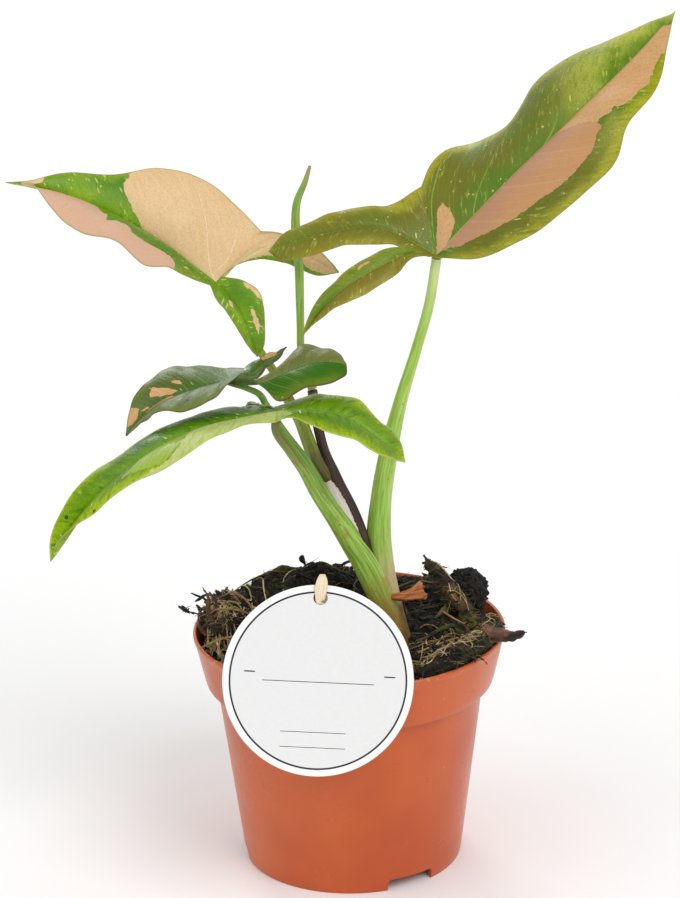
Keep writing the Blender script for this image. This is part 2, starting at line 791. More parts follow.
@dataclass
class Strands:
    """Thin curly roots draped over the litter, each one a tube of its own shape and shade.

    The region is given as low x, high x, low y and high y. Near the wall a root turns inwards.
    """

    name: str
    count: int
    region: tuple
    length: tuple
    radius: tuple
    curl: float = 0.13
    lift: float = 2.2
    seed: int = 1
    stride: float = 0.8
    wall: float = 54.0
    sides: int = 6

    def path(self, dice: random.Random, ground: list, shift: np.ndarray) -> Optional[np.ndarray]:
        """One root's line, or nothing where it finds no ground.

        Args:
            dice: the source of chance.
            ground: trees of the surfaces that it lies on.
            shift: where the pot's axis stands.

        Returns:
            Points in metres, or None.
        """
        low_x, high_x, low_y, high_y = self.region
        spot = np.array((dice.uniform(low_x, high_x), dice.uniform(low_y, high_y)))
        heading, bend = dice.uniform(0, 6.283), dice.gauss(0, self.curl)
        drift, steps = dice.gauss(0, self.curl / 14), int(dice.uniform(*self.length) / self.stride)
        plan = []
        for _ in range(steps):
            plan.append(spot)
            bend += drift + dice.gauss(0, self.curl / 4)
            heading += bend * self.stride
            if np.hypot(*spot) > self.wall:
                inward = math.atan2(-spot[1], -spot[0])
                heading += 0.35 * math.sin(inward - heading)
            spot = spot + self.stride * np.array((math.cos(heading), math.sin(heading)))
        heights = []
        for x, y in plan:
            start = Vector((x, y, 160.0)) * MM + Vector(shift)
            hits = [tree.ray_cast(start, Vector((0, 0, -1)), 0.09)[0] for tree in ground]
            found = [hit.z for hit in hits if hit is not None]
            if not found:
                return None
            heights.append(max(found) / MM)
        level = np.convolve(np.pad(heights, 3, mode="edge"), np.ones(7) / 7, "valid")
        t = np.linspace(0, 1, len(plan))
        arch = dice.uniform(0.1, self.lift) * np.sin(math.pi * t) + dice.uniform(-0.5, 1.4) * t
        return np.column_stack([np.array(plan), level + arch + 0.25]) * MM + shift

    def build(self, shop: Shop, surfaces: list, finish: "TonedFinish", node: str) -> None:
        """Make and dress all the roots as one mesh with the field "tone".

        Args:
            shop: makes the mesh.
            surfaces: the objects that the roots lie on.
            finish: the roots' finish.
            node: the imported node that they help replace.
        """
        dice, ground = random.Random(self.seed), []
        for obj in surfaces:
            shape = bmesh.new()
            shape.from_mesh(obj.data)
            ground.append(BVHTree.FromBMesh(shape))
            shape.free()
        points, faces, tones = [], [], []
        turn = turns(self.sides)
        made = tries = 0
        while made < self.count and tries < self.count * 8:
            tries += 1
            line = self.path(dice, ground, shop.shift)
            if line is None or len(line) < 6 or not shop.room.holds(line).all():
                continue
            made += 1
            along = unit(np.gradient(line, axis=0))
            side = unit(np.cross(along, (0.1, 0.2, 0.97)))
            other = np.cross(along, side)
            t = np.linspace(0, 1, len(line))
            swell = 0.35 + 0.65 * np.sin(math.pi * np.clip(t * 1.1, 0.04, 0.96))
            thick = dice.uniform(*self.radius) * MM * swell
            ring = side[:, None] * np.cos(turn)[None, :, None] + other[:, None] * np.sin(turn)[None, :, None]
            faces += tube_faces(len(line) - 1, self.sides, len(points))
            points += (line[:, None] + ring * thick[:, None, None]).reshape(-1, 3).tolist()
            tones += [dice.random()] * (len(line) * self.sides)
        obj = shop.mesh(self.name, (np.array(points) - shop.shift) / MM, faces, 60.0)
        shop.keep(obj, "tone", np.array(tones), Domain.POINT)
        shop.declare(obj, finish.build(), node)


# ---------------------------------------------------------------- finishes


@dataclass(frozen=True)
class LeafFinish:
    """Satin leaf: greens by distance from the rib and margin, light patches, specks and veins."""

    name: str
    deep: Colour = (102, 104, 4)
    fresh: Colour = (72, 122, 10)
    pale: Colour = (204, 214, 92)
    warm: Colour = (126, 104, 26)
    rim: Colour = (178, 174, 40)
    patch: Colour = (208, 164, 112)
    patch_shade: Colour = (186, 136, 90)
    second: Colour = (184, 136, 106)
    second_shade: Colour = (194, 144, 96)
    vein: Colour = (132, 172, 56)
    patch_vein: Colour = (232, 200, 160)
    under: Colour = (130, 160, 74)
    speck: Colour = (214, 214, 100)
    spot: Colour = (34, 32, 14)
    line: Colour = (150, 128, 50)
    line_share: float = 0.35
    patch_streaks: float = 0.3
    speck_share: float = 0.05
    dots: float = 0.14
    dark_share: float = 0.02
    rib_reach: float = 12.0
    side_veins: float = 0.16
    streaks: float = 0.5
    jag: float = 1.1
    gloss: float = 0.36
    sheen: float = 0.3

    def greens(self, f: Finish, lay: Socket, lines: Socket) -> Socket:
        """The leaf's greens with their streaks, veins and specks.

        Args:
            f: the material's builder.
            lay: place on the blade in millimetres, drawn out along the side veins.
            lines: mask of the veins.

        Returns:
            The colour.
        """
        rib, edge, tone = f.field("rib"), f.field("edge"), f.field("tone")
        clouds = f.cloud(48.0, 5.0)
        near_rib = f.times(f.step(rib, self.rib_reach, 0.0), 0.7)
        green = f.blend(f.math("ADD", near_rib, f.swing(clouds, 2.4), True), self.deep, self.fresh)
        light = f.blend(f.step(clouds, 0.35, 0.65), self.pale, self.fresh)
        green = f.blend(f.math("MULTIPLY", tone, 0.85, True), green, light)
        green = f.blend(f.math("MULTIPLY", tone, -0.8, True), green, self.warm)
        rim = f.step(f.math("ADD", edge, f.swing(f.cloud(120.0, 4.0), 7.0)), 6.0, 0.5, 0.0, 0.7)
        rim = f.times(rim, f.step(rib, 2.0, 11.0, 0.15, 1.0))
        green = f.blend(f.math("MAXIMUM", rim, f.field("tip")), green, self.rim)
        long = f.step(f.cloud(0.55, 4.0, lay), 0.5, 0.72, 0.0, self.streaks)
        green = f.blend(long, green, self.deep)
        aside = f.node("VectorMath", {0: lay, 1: (31.0, 7.0, 0.0)}).outputs[0]
        lime = f.step(f.cloud(0.7, 3.0, aside), 0.58, 0.74, 0.0, self.streaks * 0.8)
        green = f.blend(lime, green, self.pale)
        green = f.blend(f.step(f.cloud(1500.0, 2.0), 0.45, 0.7, 0.0, 0.4), green, self.deep)
        green = f.blend(lines, green, self.vein)
        few = f.step(f.cloud(60.0, 3.0), 0.36, 0.5)
        for scale, size, share in ((0.5, 0.26, self.speck_share), (0.95, 0.36, self.speck_share * 1.6)):
            pale = f.times(f.specks(scale, size, share, lay), few)
            green = f.blend(f.times(pale, 0.75), green, self.speck)
        dots = f.times(f.specks(700.0, 0.3, self.dots), few)
        green = f.blend(f.times(dots, 0.7), green, self.speck)
        return f.blend(f.times(f.specks(260.0, 0.26, self.dark_share), 0.8), green, self.spot)

    def light_part(self, f: Finish, lay: Socket, lines: Socket, main: Colour, deeper: Colour) -> Socket:
        """The colour of a light patch: cloudy, streaked, finely grained, with paler veins.

        Args:
            f: the material's builder.
            lay: place on the blade in millimetres, drawn out along the side veins.
            lines: mask of the veins.
            main: the patch's colour near the rib.
            deeper: its colour further out.

        Returns:
            The colour.
        """
        clouds = f.math("SUBTRACT", f.cloud(60.0, 4.0), 0.5)
        body = f.blend(f.math("ADD", f.step(f.field("rib"), 4.0, 15.0), clouds, True), main, deeper)
        streaks = f.step(f.cloud(0.7, 4.0, lay), 0.45, 0.68, 0.0, self.patch_streaks)
        body = f.blend(streaks, body, self.patch_shade)
        body = f.blend(f.step(f.cloud(1300.0, 3.0), 0.42, 0.7, 0.0, 0.55), body, self.patch_shade)
        return f.blend(f.times(lines, 0.9), body, self.patch_vein)

    def build(self) -> bpy.types.Material:
        """The leaf's material, which reads the fields of a blade."""
        f = Finish(self.name)
        rib, edge, gap, vein, strong = (f.field(name) for name in ("rib", "edge", "gap", "vein", "strong"))
        lay = f.vector("lay")

        # Side veins are faint lines at whole numbers of the vein field; drawn nerves are clearer
        line = f.times(f.step(f.times(f.math("PINGPONG", vein, 0.5), gap), 0.6, 0.1), strong)
        thirds = f.math("PINGPONG", f.times(vein, 4.0), 0.5)
        small = f.step(f.times(thirds, gap), 1.3, 0.3, 0.0, 0.5)
        line = f.times(f.math("MAXIMUM", line, small), self.side_veins)
        line = f.times(line, f.step(edge, 0.6, 4.0))
        nerve = f.times(f.step(f.field("nerve"), 0.42, 0.12), 0.8)
        middle = f.times(f.step(rib, 0.5, 0.15), strong)
        lines = f.math("MAXIMUM", f.math("MAXIMUM", line, nerve), f.times(middle, 0.6))

        # Light patches with a jagged border that smooths out at the rib
        jitter = f.times(f.swing(f.cloud(420.0, 3.0), self.jag * 2), f.step(rib, 0.4, 2.5))
        colour = self.greens(f, lay, lines)
        for tint, main, deeper in ((Tint.FIRST, self.patch, self.patch),
                                   (Tint.SECOND, self.second, self.second_shade)):
            mask = f.step(f.math("ADD", f.field(tint.value), jitter), -0.12, 0.12)
            colour = f.blend(mask, colour, self.light_part(f, lay, lines, main, deeper))

        # A thin line along the margin, and a paler, duller underside
        colour = f.blend(f.times(f.step(edge, 0.8, 0.2), self.line_share), colour, self.line)
        colour = f.blend(f.times(f.field("under"), 0.5), colour, self.under)
        net = f.node("TexVoronoi", {"Vector": f.place(), "Scale": 620.0}, feature="DISTANCE_TO_EDGE")
        mesh = f.step(net.outputs["Distance"], 0.0, 0.18, 0.0, 0.3)
        raised = f.math("SUBTRACT", f.math("ADD", mesh, f.cloud(0.5, 3.0, lay)), f.times(lines, 1.5))
        wear = f.step(f.cloud(70.0, 4.0), 0.3, 0.7, self.gloss - 0.06, self.gloss + 0.12)
        shine = f.step(f.field("tone"), 0.1, 1.0, self.sheen, self.sheen * 0.2)
        return f.surface(Base_Color=colour, Roughness=wear, Specular_IOR_Level=shine,
                         Normal=f.relief(raised, 0.4, 0.0003))


@dataclass(frozen=True)
class StalkFinish:
    """Smooth stalk with lengthwise streaks, another tint at its top and one near the soil.

    The top's length and the levels of the foot and the ground tint are in millimetres.
    """

    name: str
    base: Colour
    streak: Colour
    top: Colour
    top_length: float
    foot: Colour
    foot_level: float
    blotch: Colour = (120, 92, 50)
    blotches: float = 0.0
    dot: Colour = (104, 130, 44)
    gloss: float = 0.42
    ground: Colour = (84, 54, 32)
    ground_level: float = 0.0

    def build(self) -> bpy.types.Material:
        """The stalk's material, which reads a tube's fields."""
        f = Finish(self.name)
        grain = f.vector("grain")
        streaks = f.cloud(1.5, 5.0, grain)
        colour = f.blend(f.step(streaks, 0.35, 0.7), self.base, self.streak)
        colour = f.blend(f.times(f.specks(700.0, 0.4, 0.12), 0.5), colour, self.dot)
        colour = f.blend(f.step(f.cloud(3.4, 3.0, grain), 0.56, 0.66, 0.0, 0.4), colour, self.dot)
        top = f.step(f.field("run"), self.top_length, 0.0)
        colour = f.blend(f.times(top, 0.85), colour, self.top)
        level = f.math("ADD", f.height(), f.swing(f.cloud(120.0, 3.0), 0.022))
        foot = f.step(level, self.foot_level * MM + 0.014, self.foot_level * MM - 0.012)
        colour = f.blend(f.times(foot, 0.8), colour, self.foot)
        low = f.step(level, self.ground_level * MM + 0.006, self.ground_level * MM - 0.006)
        colour = f.blend(f.times(low, 0.85), colour, self.ground)
        spots = f.times(f.step(f.cloud(160.0, 4.0), 0.56, 0.7), self.blotches)
        colour = f.blend(spots, colour, self.blotch)
        wear = f.step(streaks, 0.3, 0.7, self.gloss - 0.05, self.gloss + 0.12)
        return f.surface(Base_Color=colour, Roughness=wear,
                         Normal=f.relief(f.cloud(2.2, 3.0, grain), 0.3, 0.0004))


@dataclass(frozen=True)
class TonedFinish:
    """Litter: a dark and a light shade chosen by each bit's own tone, roughened by noise."""

    name: str
    dark: Colour
    light: Colour
    accent: Colour
    accent_share: float
    rough: float = 0.9
    scale: float = 260.0
    depth: float = 0.0006
    toned: bool = True

    def build(self) -> bpy.types.Material:
        """The material; toned bits carry the field "tone"."""
        f = Finish(self.name)
        grain = f.cloud(self.scale, 5.0)
        share = f.field("tone") if self.toned else f.step(f.cloud(self.scale * 0.4, 3.0), 0.35, 0.65)
        colour = f.blend(share, self.dark, self.light)
        chosen = f.step(f.cloud(self.scale * 0.22, 3.0), 0.62 - self.accent_share, 0.7 - self.accent_share)
        colour = f.blend(f.times(chosen, 0.85), colour, self.accent)
        colour = f.blend(f.step(grain, 0.6, 0.3, 0.0, 0.7), colour, self.dark)
        wear = f.step(grain, 0.3, 0.7, self.rough - 0.12, min(1.0, self.rough + 0.1))
        return f.surface(Base_Color=colour, Roughness=wear, Normal=f.relief(grain, 0.8, self.depth))


@dataclass(frozen=True)
class PotFinish:
    """Terracotta-coloured plastic with a soft sheen, faint moulding marks and dust at the rim."""

    base: Colour = (198, 93, 42)
    deep: Colour = (184, 80, 34)
    dust: Colour = (205, 150, 120)

    def build(self) -> bpy.types.Material:
        """The pot's material."""
        f = Finish("terracotta plastic")
        colour = f.blend(f.step(f.cloud(18.0, 3.0), 0.35, 0.65), self.base, self.deep)
        colour = f.blend(f.times(f.specks(260.0, 0.22, 0.05), 0.35), colour, self.dust)
        rim = f.times(f.step(f.height(), 0.086, 0.094), f.step(f.cloud(400.0, 4.0), 0.56, 0.66))
        colour = f.blend(f.times(rim, 0.45), colour, self.dust)
        wear = f.step(f.cloud(60.0, 4.0), 0.3, 0.7, 0.26, 0.36)
        skin = f.relief(f.cloud(900.0, 2.0), 0.12, 0.0001)
        return f.surface(Base_Color=colour, Roughness=wear, Specular_IOR_Level=0.42, Normal=skin)


@dataclass(frozen=True)
class CardFinish:
    """White card with a thin printed ring and plain rules on its front.

    Each rule is given by its middle and its half sizes in millimetres.
    """

    ring: float
    line: float = 0.34
    turn: float = -3.8
    rules: tuple = (((-25.2, 2.4), (2.0, 0.24)), ((26.2, 2.4), (2.0, 0.24)), ((0.1, -0.6), (20.5, 0.14)),
                    ((-1.0, -19.0), (12.0, 0.12)), ((-1.0, -24.6), (12.0, 0.12)))
    paper: Colour = (226, 226, 226)
    fibre: Colour = (234, 234, 232)
    border: Colour = (244, 244, 244)
    ink: Colour = (24, 26, 32)

    def bar(self, f: Finish, places: tuple[Socket, Socket], middle: Point, half: Point) -> Socket:
        """Mask of a printed bar with its middle and half sizes in millimetres."""
        across, down = (
            f.step(f.math("ABSOLUTE", f.math("SUBTRACT", place, centre)), reach + 0.05, reach - 0.05)
            for place, centre, reach in zip(places, middle, half))
        return f.times(across, down)

    def build(self) -> bpy.types.Material:
        """The card's material, which reads the field "card" in millimetres."""
        f = Finish("white card")
        x, y, front = f.node("SeparateXYZ", {0: f.vector("card")}).outputs
        reach = f.math("SQRT", f.math("ADD", f.times(x, x), f.times(y, y)))
        off = f.math("ABSOLUTE", f.math("SUBTRACT", reach, self.ring))
        ink = f.step(off, self.line + 0.05, self.line - 0.05)
        cos, sin = math.cos(math.radians(self.turn)), math.sin(math.radians(self.turn))
        along = f.math("ADD", f.times(x, cos), f.times(y, sin))
        level = f.math("SUBTRACT", f.times(y, cos), f.times(x, sin))
        for middle, half in self.rules:
            ink = f.math("MAXIMUM", ink, self.bar(f, (along, level), middle, half))
        ink = f.times(ink, f.step(front, 0.4, 0.6))
        fibre = f.cloud(800.0, 4.0)
        inner = f.step(reach, self.ring + 0.05, self.ring - 0.05)
        paper = f.blend(inner, self.border, self.paper)
        paper = f.blend(f.step(fibre, 0.4, 0.9, 0.0, 0.5), paper, self.fibre)
        wear = f.step(fibre, 0.2, 0.8, 0.48, 0.6)
        return f.surface(Base_Color=f.blend(ink, paper, self.ink), Roughness=wear,
                         Normal=f.relief(fibre, 0.1, 0.0001))


@dataclass(frozen=True)
class ThinFinish:
    """Dry paper-thin tissue or a paper strip: two shades, veined along its run."""

    name: str
    light: Colour
    dark: Colour
    edge: Colour
    rough: float
    edge_share: float

    def build(self) -> bpy.types.Material:
        """The material, which reads a strip's fields "run" and "span"."""
        f = Finish(self.name)
        span, run = f.field("span"), f.field("run")
        streaks = f.node("CombineXYZ", {0: f.times(span, 3.0), 1: f.times(run, 1.5), 2: 0.0})
        colour = f.blend(f.step(f.cloud(2.0, 5.0, streaks.outputs[0]), 0.35, 0.65), self.light, self.dark)
        side = f.step(f.math("ABSOLUTE", span), 0.6, 1.0)
        colour = f.blend(f.times(side, self.edge_share), colour, self.edge)
        colour = f.blend(f.step(f.cloud(500.0, 4.0), 0.62, 0.75), colour, self.dark)
        return f.surface(Base_Color=colour, Roughness=self.rough,
                         Normal=f.relief(f.cloud(420.0, 4.0), 0.4, 0.0003))


# ---------------------------------------------------------------- blades


@dataclass
class Lobe:
    """One lobe of a blade: its rib and margins, the gap between its side veins, its greens.

    The tones are those of its left and right half: 1 is pale green, 0 is deep, -1 is brownish.
    """

    rib: list
    left: list
    right: list
    spacing: float = 12.0
    tones: tuple[float, float] = (0.0, 0.0)
    tip_tone: Optional[float] = None
    drip: float = 0.92


@dataclass
class Patch:
    """A light patch on one half of a lobe, as points along and across it.

    A point with v below 0 or u outside 0 to 1 says that the patch goes on past that border.
    """

    lobe: int
    side: Side
    outline: list
    tint: Tint = Tint.FIRST


@dataclass
class Nerve:
    """A clear vein drawn on one half of a lobe, as points along and across it."""

    lobe: int
    side: Side
    outline: list


@dataclass
class Plan:
    """One half of a lobe laid flat: places along it (u) and across it (v), and its measures.

    Forward and width say how far, in millimetres, the margin lies ahead of the rib and beside it
    at each place along.
    """

    u: np.ndarray
    v: np.ndarray
    length: float
    forward: np.ndarray
    width: np.ndarray

    def __post_init__(self) -> None:
        """Give every place in millimetres."""
        self.x = self.u * self.length + self.v * self.forward[:, None]
        self.y = self.v * self.width[:, None]

    def laid(self, outline: np.ndarray) -> np.ndarray:
        """Points given along and across, in millimetres."""
        ahead, out = (np.interp(outline[:, 0], self.u[:, 0], side) for side in (self.forward, self.width))
        return np.column_stack([outline[:, 0] * self.length + outline[:, 1] * ahead, outline[:, 1] * out])

    def away(self, start: Point, end: Point) -> np.ndarray:
        """Distance of every place from a straight piece of line."""
        dx, dy = end[0] - start[0], end[1] - start[1]
        share = ((self.x - start[0]) * dx + (self.y - start[1]) * dy) / max(dx * dx + dy * dy, 1e-9)
        share = np.clip(share, 0, 1)
        return np.hypot(self.x - start[0] - share * dx, self.y - start[1] - share * dy)

    def inside(self, outline: np.ndarray) -> np.ndarray:
        """Signed distance to an outline in millimetres, positive inside it and 20 at most."""
        uu, vv = np.broadcast_arrays(self.u, self.v)
        flat = self.laid(outline)
        inside, away = np.zeros(self.x.shape, bool), np.full(self.x.shape, 20.0)
        for k in range(len(outline)):
            n = (k + 1) % len(outline)
            (u0, v0), (u1, v1) = outline[k], outline[n]
            if v0 != v1:
                crosses = (v0 > vv) != (v1 > vv)
                inside ^= crosses & (uu < (u1 - u0) * (vv - v0) / (v1 - v0) + u0)
            away = np.minimum(away, self.away(flat[k], flat[n]))
        return np.where(inside, away, -away)


@dataclass
class Blade:
    """A three-lobed blade: main lobe, first ear and second ear, in turn around the joint."""

    name: str
    joint: tuple
    dips: tuple
    lobes: tuple
    wave: float
    finish: LeafFinish
    patches: list = field(default_factory=list)
    nerves: list = field(default_factory=list)
    thickness: float = 0.55
    camber: float = 0.09
    rib_depth: float = 0.55
    quilt: float = 0.24
    main_steps: int = 140
    ear_steps: int = 84
    across: int = 30

    def steps(self, number: int) -> int:
        """How many rows of faces a lobe has along its rib."""
        return self.main_steps if number == 0 else self.ear_steps

    def half(self, number: int, side: Side) -> tuple[np.ndarray, dict[str, np.ndarray]]:
        """Points and fields of one half of a lobe.

        Args:
            number: the lobe, 0 for the main one.
            side: which half.

        Returns:
            Its points, rows along the rib, and its fields by name.
        """
        lobe, sign, steps = self.lobes[number], side.value, self.steps(number)
        rib = smooth_line([self.joint] + lobe.rib, steps)
        dip = number if sign == 1 else (number - 1) % 3
        bounds = lobe.left if sign == 1 else lobe.right
        margin = smooth_line([self.dips[dip]] + bounds + [lobe.rib[-1]], steps)
        along = unit(np.gradient(rib, axis=0))
        reach = margin - rib
        normal = unit(np.cross(along, reach)) * sign
        normal[-1] = normal[-2]
        u = np.linspace(0, 1, steps + 1)[:, None]
        # Places across a half-lobe lie closer together at the rib
        v = ((np.arange(self.across + 1) / self.across) ** 1.3)[None]
        forward = np.sum(reach * along, axis=1)
        width = np.linalg.norm(reach - along * forward[:, None], axis=1)
        plan = Plan(u, v, np.linalg.norm(np.diff(rib, axis=0), axis=1).sum(), forward, width)
        x, y = plan.x, plan.y
        lateral = (x - 0.6 * y - 0.010 * y**2) / lobe.spacing + 0.35 * (sign == 1)

        # Camber and ripple, then a groove at the rib and swellings between the side veins
        rise = np.minimum(1.0, u * 4) * (
            self.camber * np.linalg.norm(reach, axis=1)[:, None] * 4 * v * (1 - v)
            + self.wave * np.sin(u * 22 + number * 2 + sign) * v**3
        )
        soft = ease(u, 0.02, 0.2) * (1 - ease(u, 0.86, 1.0))
        swell = (0.5 - 0.5 * np.cos(2 * math.pi * lateral)) * ease(v, 0.03, 0.3) * (1 - ease(v, 0.75, 1.0))
        rise = rise + soft * self.quilt * np.minimum(1.0, width[:, None] / 20) * swell
        rise = rise - soft * 0.35 * np.exp(-((y / 0.9) ** 2))
        grid = rib[:, None] + reach[:, None] * v[:, :, None] + normal[:, None] * rise[:, :, None]
        flutter = 0.12 * np.sin(u * 47 + number + 2 * sign) * ease(v, 0.6, 1.0) * soft
        grid = grid + normal[:, None] * flutter[:, :, None]
        tone = np.full(y.shape, lobe.tones[0 if sign == 1 else 1])
        if lobe.tip_tone is not None:
            tone = tone + (lobe.tip_tone - tone) * ease(u, 0.45, 0.8)
        fields = {
            "rib": y, "edge": (1 - v) * width[:, None], "vein": lateral, "tone": tone,
            "strong": np.broadcast_to(1 - 0.75 * ease(u, 0.3, 0.9), y.shape),
            "gap": np.full(y.shape, lobe.spacing),
            "tip": np.broadcast_to(0.7 * ease(u, lobe.drip, 1.0), y.shape),
            "lay": np.stack([lateral * lobe.spacing, y * 0.34,
                             np.full(y.shape, 40.0 * number + 9 * sign)], axis=2),
            "nerve": np.full(y.shape, 9.0),
            **{tint.value: np.full(y.shape, -20.0) for tint in Tint},
        }
        here = (number, side)
        for drawn in (nerve for nerve in self.nerves if (nerve.lobe, nerve.side) == here):
            line = smooth_line(plan.laid(np.array(drawn.outline, float)), 40)
            for start, end in zip(line, line[1:]):
                fields["nerve"] = np.minimum(fields["nerve"], plan.away(start, end))
        for patch in (patch for patch in self.patches if (patch.lobe, patch.side) == here):
            kind = patch.tint.value
            fields[kind] = np.maximum(fields[kind], plan.inside(self.finely(patch.outline)))
        return grid, fields

    @staticmethod
    def finely(outline: list) -> np.ndarray:
        """The outline with long pieces cut up, so that they follow the lobe's curves."""
        rows = []
        for (u0, v0), (u1, v1) in zip(outline, outline[1:] + outline[:1]):
            parts = max(1, math.ceil(max(abs(u1 - u0) / 0.04, abs(v1 - v0) / 0.3)))
            rows += [(u0 + (u1 - u0) * k / parts, v0 + (v1 - v0) * k / parts) for k in range(parts)]
        return np.array(rows)

    def sheet(self) -> Sheet:
        """The middle surface with its six halves joined along ribs and dips."""
        last = self.across
        total, local = 1 + 3 * last, 0
        dip_ids = [np.r_[0, np.arange(1 + number * last, 1 + (number + 1) * last)] for number in range(3)]
        places, triangles, corners = {}, [], []
        fields: dict[str, list] = {}
        ridge = {0: self.rib_depth}
        for number in range(3):
            steps = self.steps(number)
            rib_ids = np.r_[0, np.arange(total, total + steps)]
            total += steps
            taper = 1 - 0.8 * np.linspace(0, 1, steps + 1)[1:]
            ridge.update(zip(rib_ids[1:].tolist(), (self.rib_depth * taper).tolist()))
            for side in (Side.LEFT, Side.RIGHT):
                grid, values = self.half(number, side)
                ids = np.zeros((steps + 1, last + 1), int)
                inner = (steps - 1) * last
                ids[1:steps, 1:] = np.arange(total, total + inner).reshape(steps - 1, last)
                total += inner
                ids[:, 0] = rib_ids
                ids[0] = dip_ids[number if side is Side.LEFT else (number - 1) % 3]
                ids[steps] = rib_ids[steps]
                places.update(zip(ids.ravel().tolist(), grid.reshape(-1, 3)))
                own = np.arange(local, local + ids.size).reshape(ids.shape)
                local += ids.size
                for key, value in values.items():
                    fields.setdefault(key, []).append(value.reshape(-1, *value.shape[2:]))
                for table, store in ((ids, triangles), (own, corners)):
                    a, b, c, d = table[:-1, :-1], table[1:, :-1], table[1:, 1:], table[:-1, 1:]
                    one = np.stack([a, b, c], -1)[:-1].reshape(-1, 3)
                    two = np.stack([a, c, d], -1)[:-1].reshape(-1, 3)
                    found = np.vstack([one, two, np.stack([a, b, d], -1)[-1]])
                    store.append(found if side is Side.LEFT else found[:, ::-1])
        joined = {key: np.concatenate(parts) for key, parts in fields.items()}
        triangles, corners = np.vstack(triangles), np.vstack(corners)
        slim = np.ones(total)
        slim[triangles.ravel()] = 0.35 + 0.65 * ease(joined["edge"][corners.ravel()], 0.0, 2.5)
        slim[0] = 1.0
        points = np.array([places[k] for k in range(total)])
        ridges = np.array([ridge.get(k, 0.0) for k in range(total)])
        return Sheet(points, triangles, corners, ridges, joined, slim)

    def build(self, shop: Shop) -> Seat:
        """Make and dress the blade.

        Args:
            shop: makes the mesh.

        Returns:
            Where its stalk meets it and the blade's normal there.
        """
        sheet = self.sheet()
        obj = sheet.solid(shop, self.name + "_blade", self.thickness)
        shop.declare(obj, self.finish.build(), self.name)
        normal = point_normals(sheet.points, sheet.triangles)[0]
        return sheet.points[0] - normal * (self.thickness / 2 + 0.25), normal


BAND_EDGE = [
    (0, 0), (0.035, 0.2), (0.078, 0.42), (0.11, 0.45), (0.174, 0.57), (0.208, 0.6), (0.275, 0.66),
    (0.342, 0.69), (0.407, 0.73), (0.461, 0.73), (0.512, 0.71), (0.541, 0.68), (0.562, 0.64), (0.578, 0.62),
    (0.598, 0.64)]

LEAF_RIGHT = Blade(
    name="leaf_right", joint=(35, -4, 241), dips=((30, 12, 263), (32, -6, 241), (38, -8, 241)),
    lobes=(
        Lobe(
            rib=[(59, -2, 266), (88, 2, 293), (110, 5, 314), (122.8, 6, 327.7)],
            left=[
                (34, 18, 270), (40, 24, 274), (53, 24, 277), (62, 20, 283), (72, 26, 297), (90, 24, 310),
                (108, 16, 319)],
            right=[
                (49, -14, 242), (65, -22, 251), (86, -28, 268), (99, -26, 282), (103, -22, 292),
                (113, -14, 302), (119, -4, 318)],
            spacing=17.0, tones=(0.05, 0.0), tip_tone=0.9, drip=0.95),
        Lobe(
            rib=[(14, -1, 251), (-8, -2, 249), (-27, -1, 243)],
            left=[(18, -7, 246), (1, -7, 246), (-15, -4, 241), (-23, -2, 240)],
            right=[(18, 9, 257), (4, 6, 257), (-11, 3, 253), (-21, 1, 249)],
            tones=(-0.7, -0.4), drip=0.98),
        Lobe(
            rib=[(26, -10, 244), (14, -17, 241), (-1, -22, 233), (-15, -24, 217)],
            left=[(26, -11, 242), (20, -18, 238), (6, -26, 232), (-8, -27, 225)],
            right=[(26, -9, 245), (16, -12, 246), (5, -15, 241), (-6, -19, 233), (-13, -23, 223)],
            tones=(-0.9, 0.2))),
    wave=0.5,
    finish=LeafFinish(name="right leaf"),
    patches=[
        Patch(0, Side.RIGHT, BAND_EDGE + [
            (0.601, 0.51), (0.621, 0.54), (0.652, 0.66), (0.66, 0.61), (0.674, 0.71), (0.705, 0.77),
            (0.742, 0.77), (0.771, 0.83), (0.801, 0.81), (0.832, 0.82), (0.861, 0.84), (0.88, 1.1),
            (0.962, 1.1), (0.935, 0)]),
        Patch(0, Side.RIGHT, BAND_EDGE + [
            (0.601, 0.51), (0.594, 0.41), (0.569, 0.24), (0.527, 0.1), (0.493, 0)], Tint.SECOND),
        Patch(0, Side.LEFT, [
            (0, 0), (0.02, 0.2), (0.044, 0.44), (0.079, 0.44), (0.101, 0.26), (0.097, 0.1), (0.059, 0.02),
            (0.036, 0)]),
        Patch(2, Side.RIGHT, [(0.42, 0.6), (0.47, 0.68), (0.5, 0.5), (0.46, 0.46)])],
    nerves=[
        Nerve(0, Side.LEFT, [(0, 0), (0.014, 0.39), (0.038, 0.64), (0.081, 0.76), (0.125, 0.87)]),
        Nerve(0, Side.LEFT, [(0.16, 0), (0.18, 0.08), (0.273, 0.39), (0.324, 0.62), (0.368, 0.82)]),
        Nerve(0, Side.LEFT, [(0.45, 0), (0.5, 0.06), (0.535, 0.17), (0.546, 0.33)])])

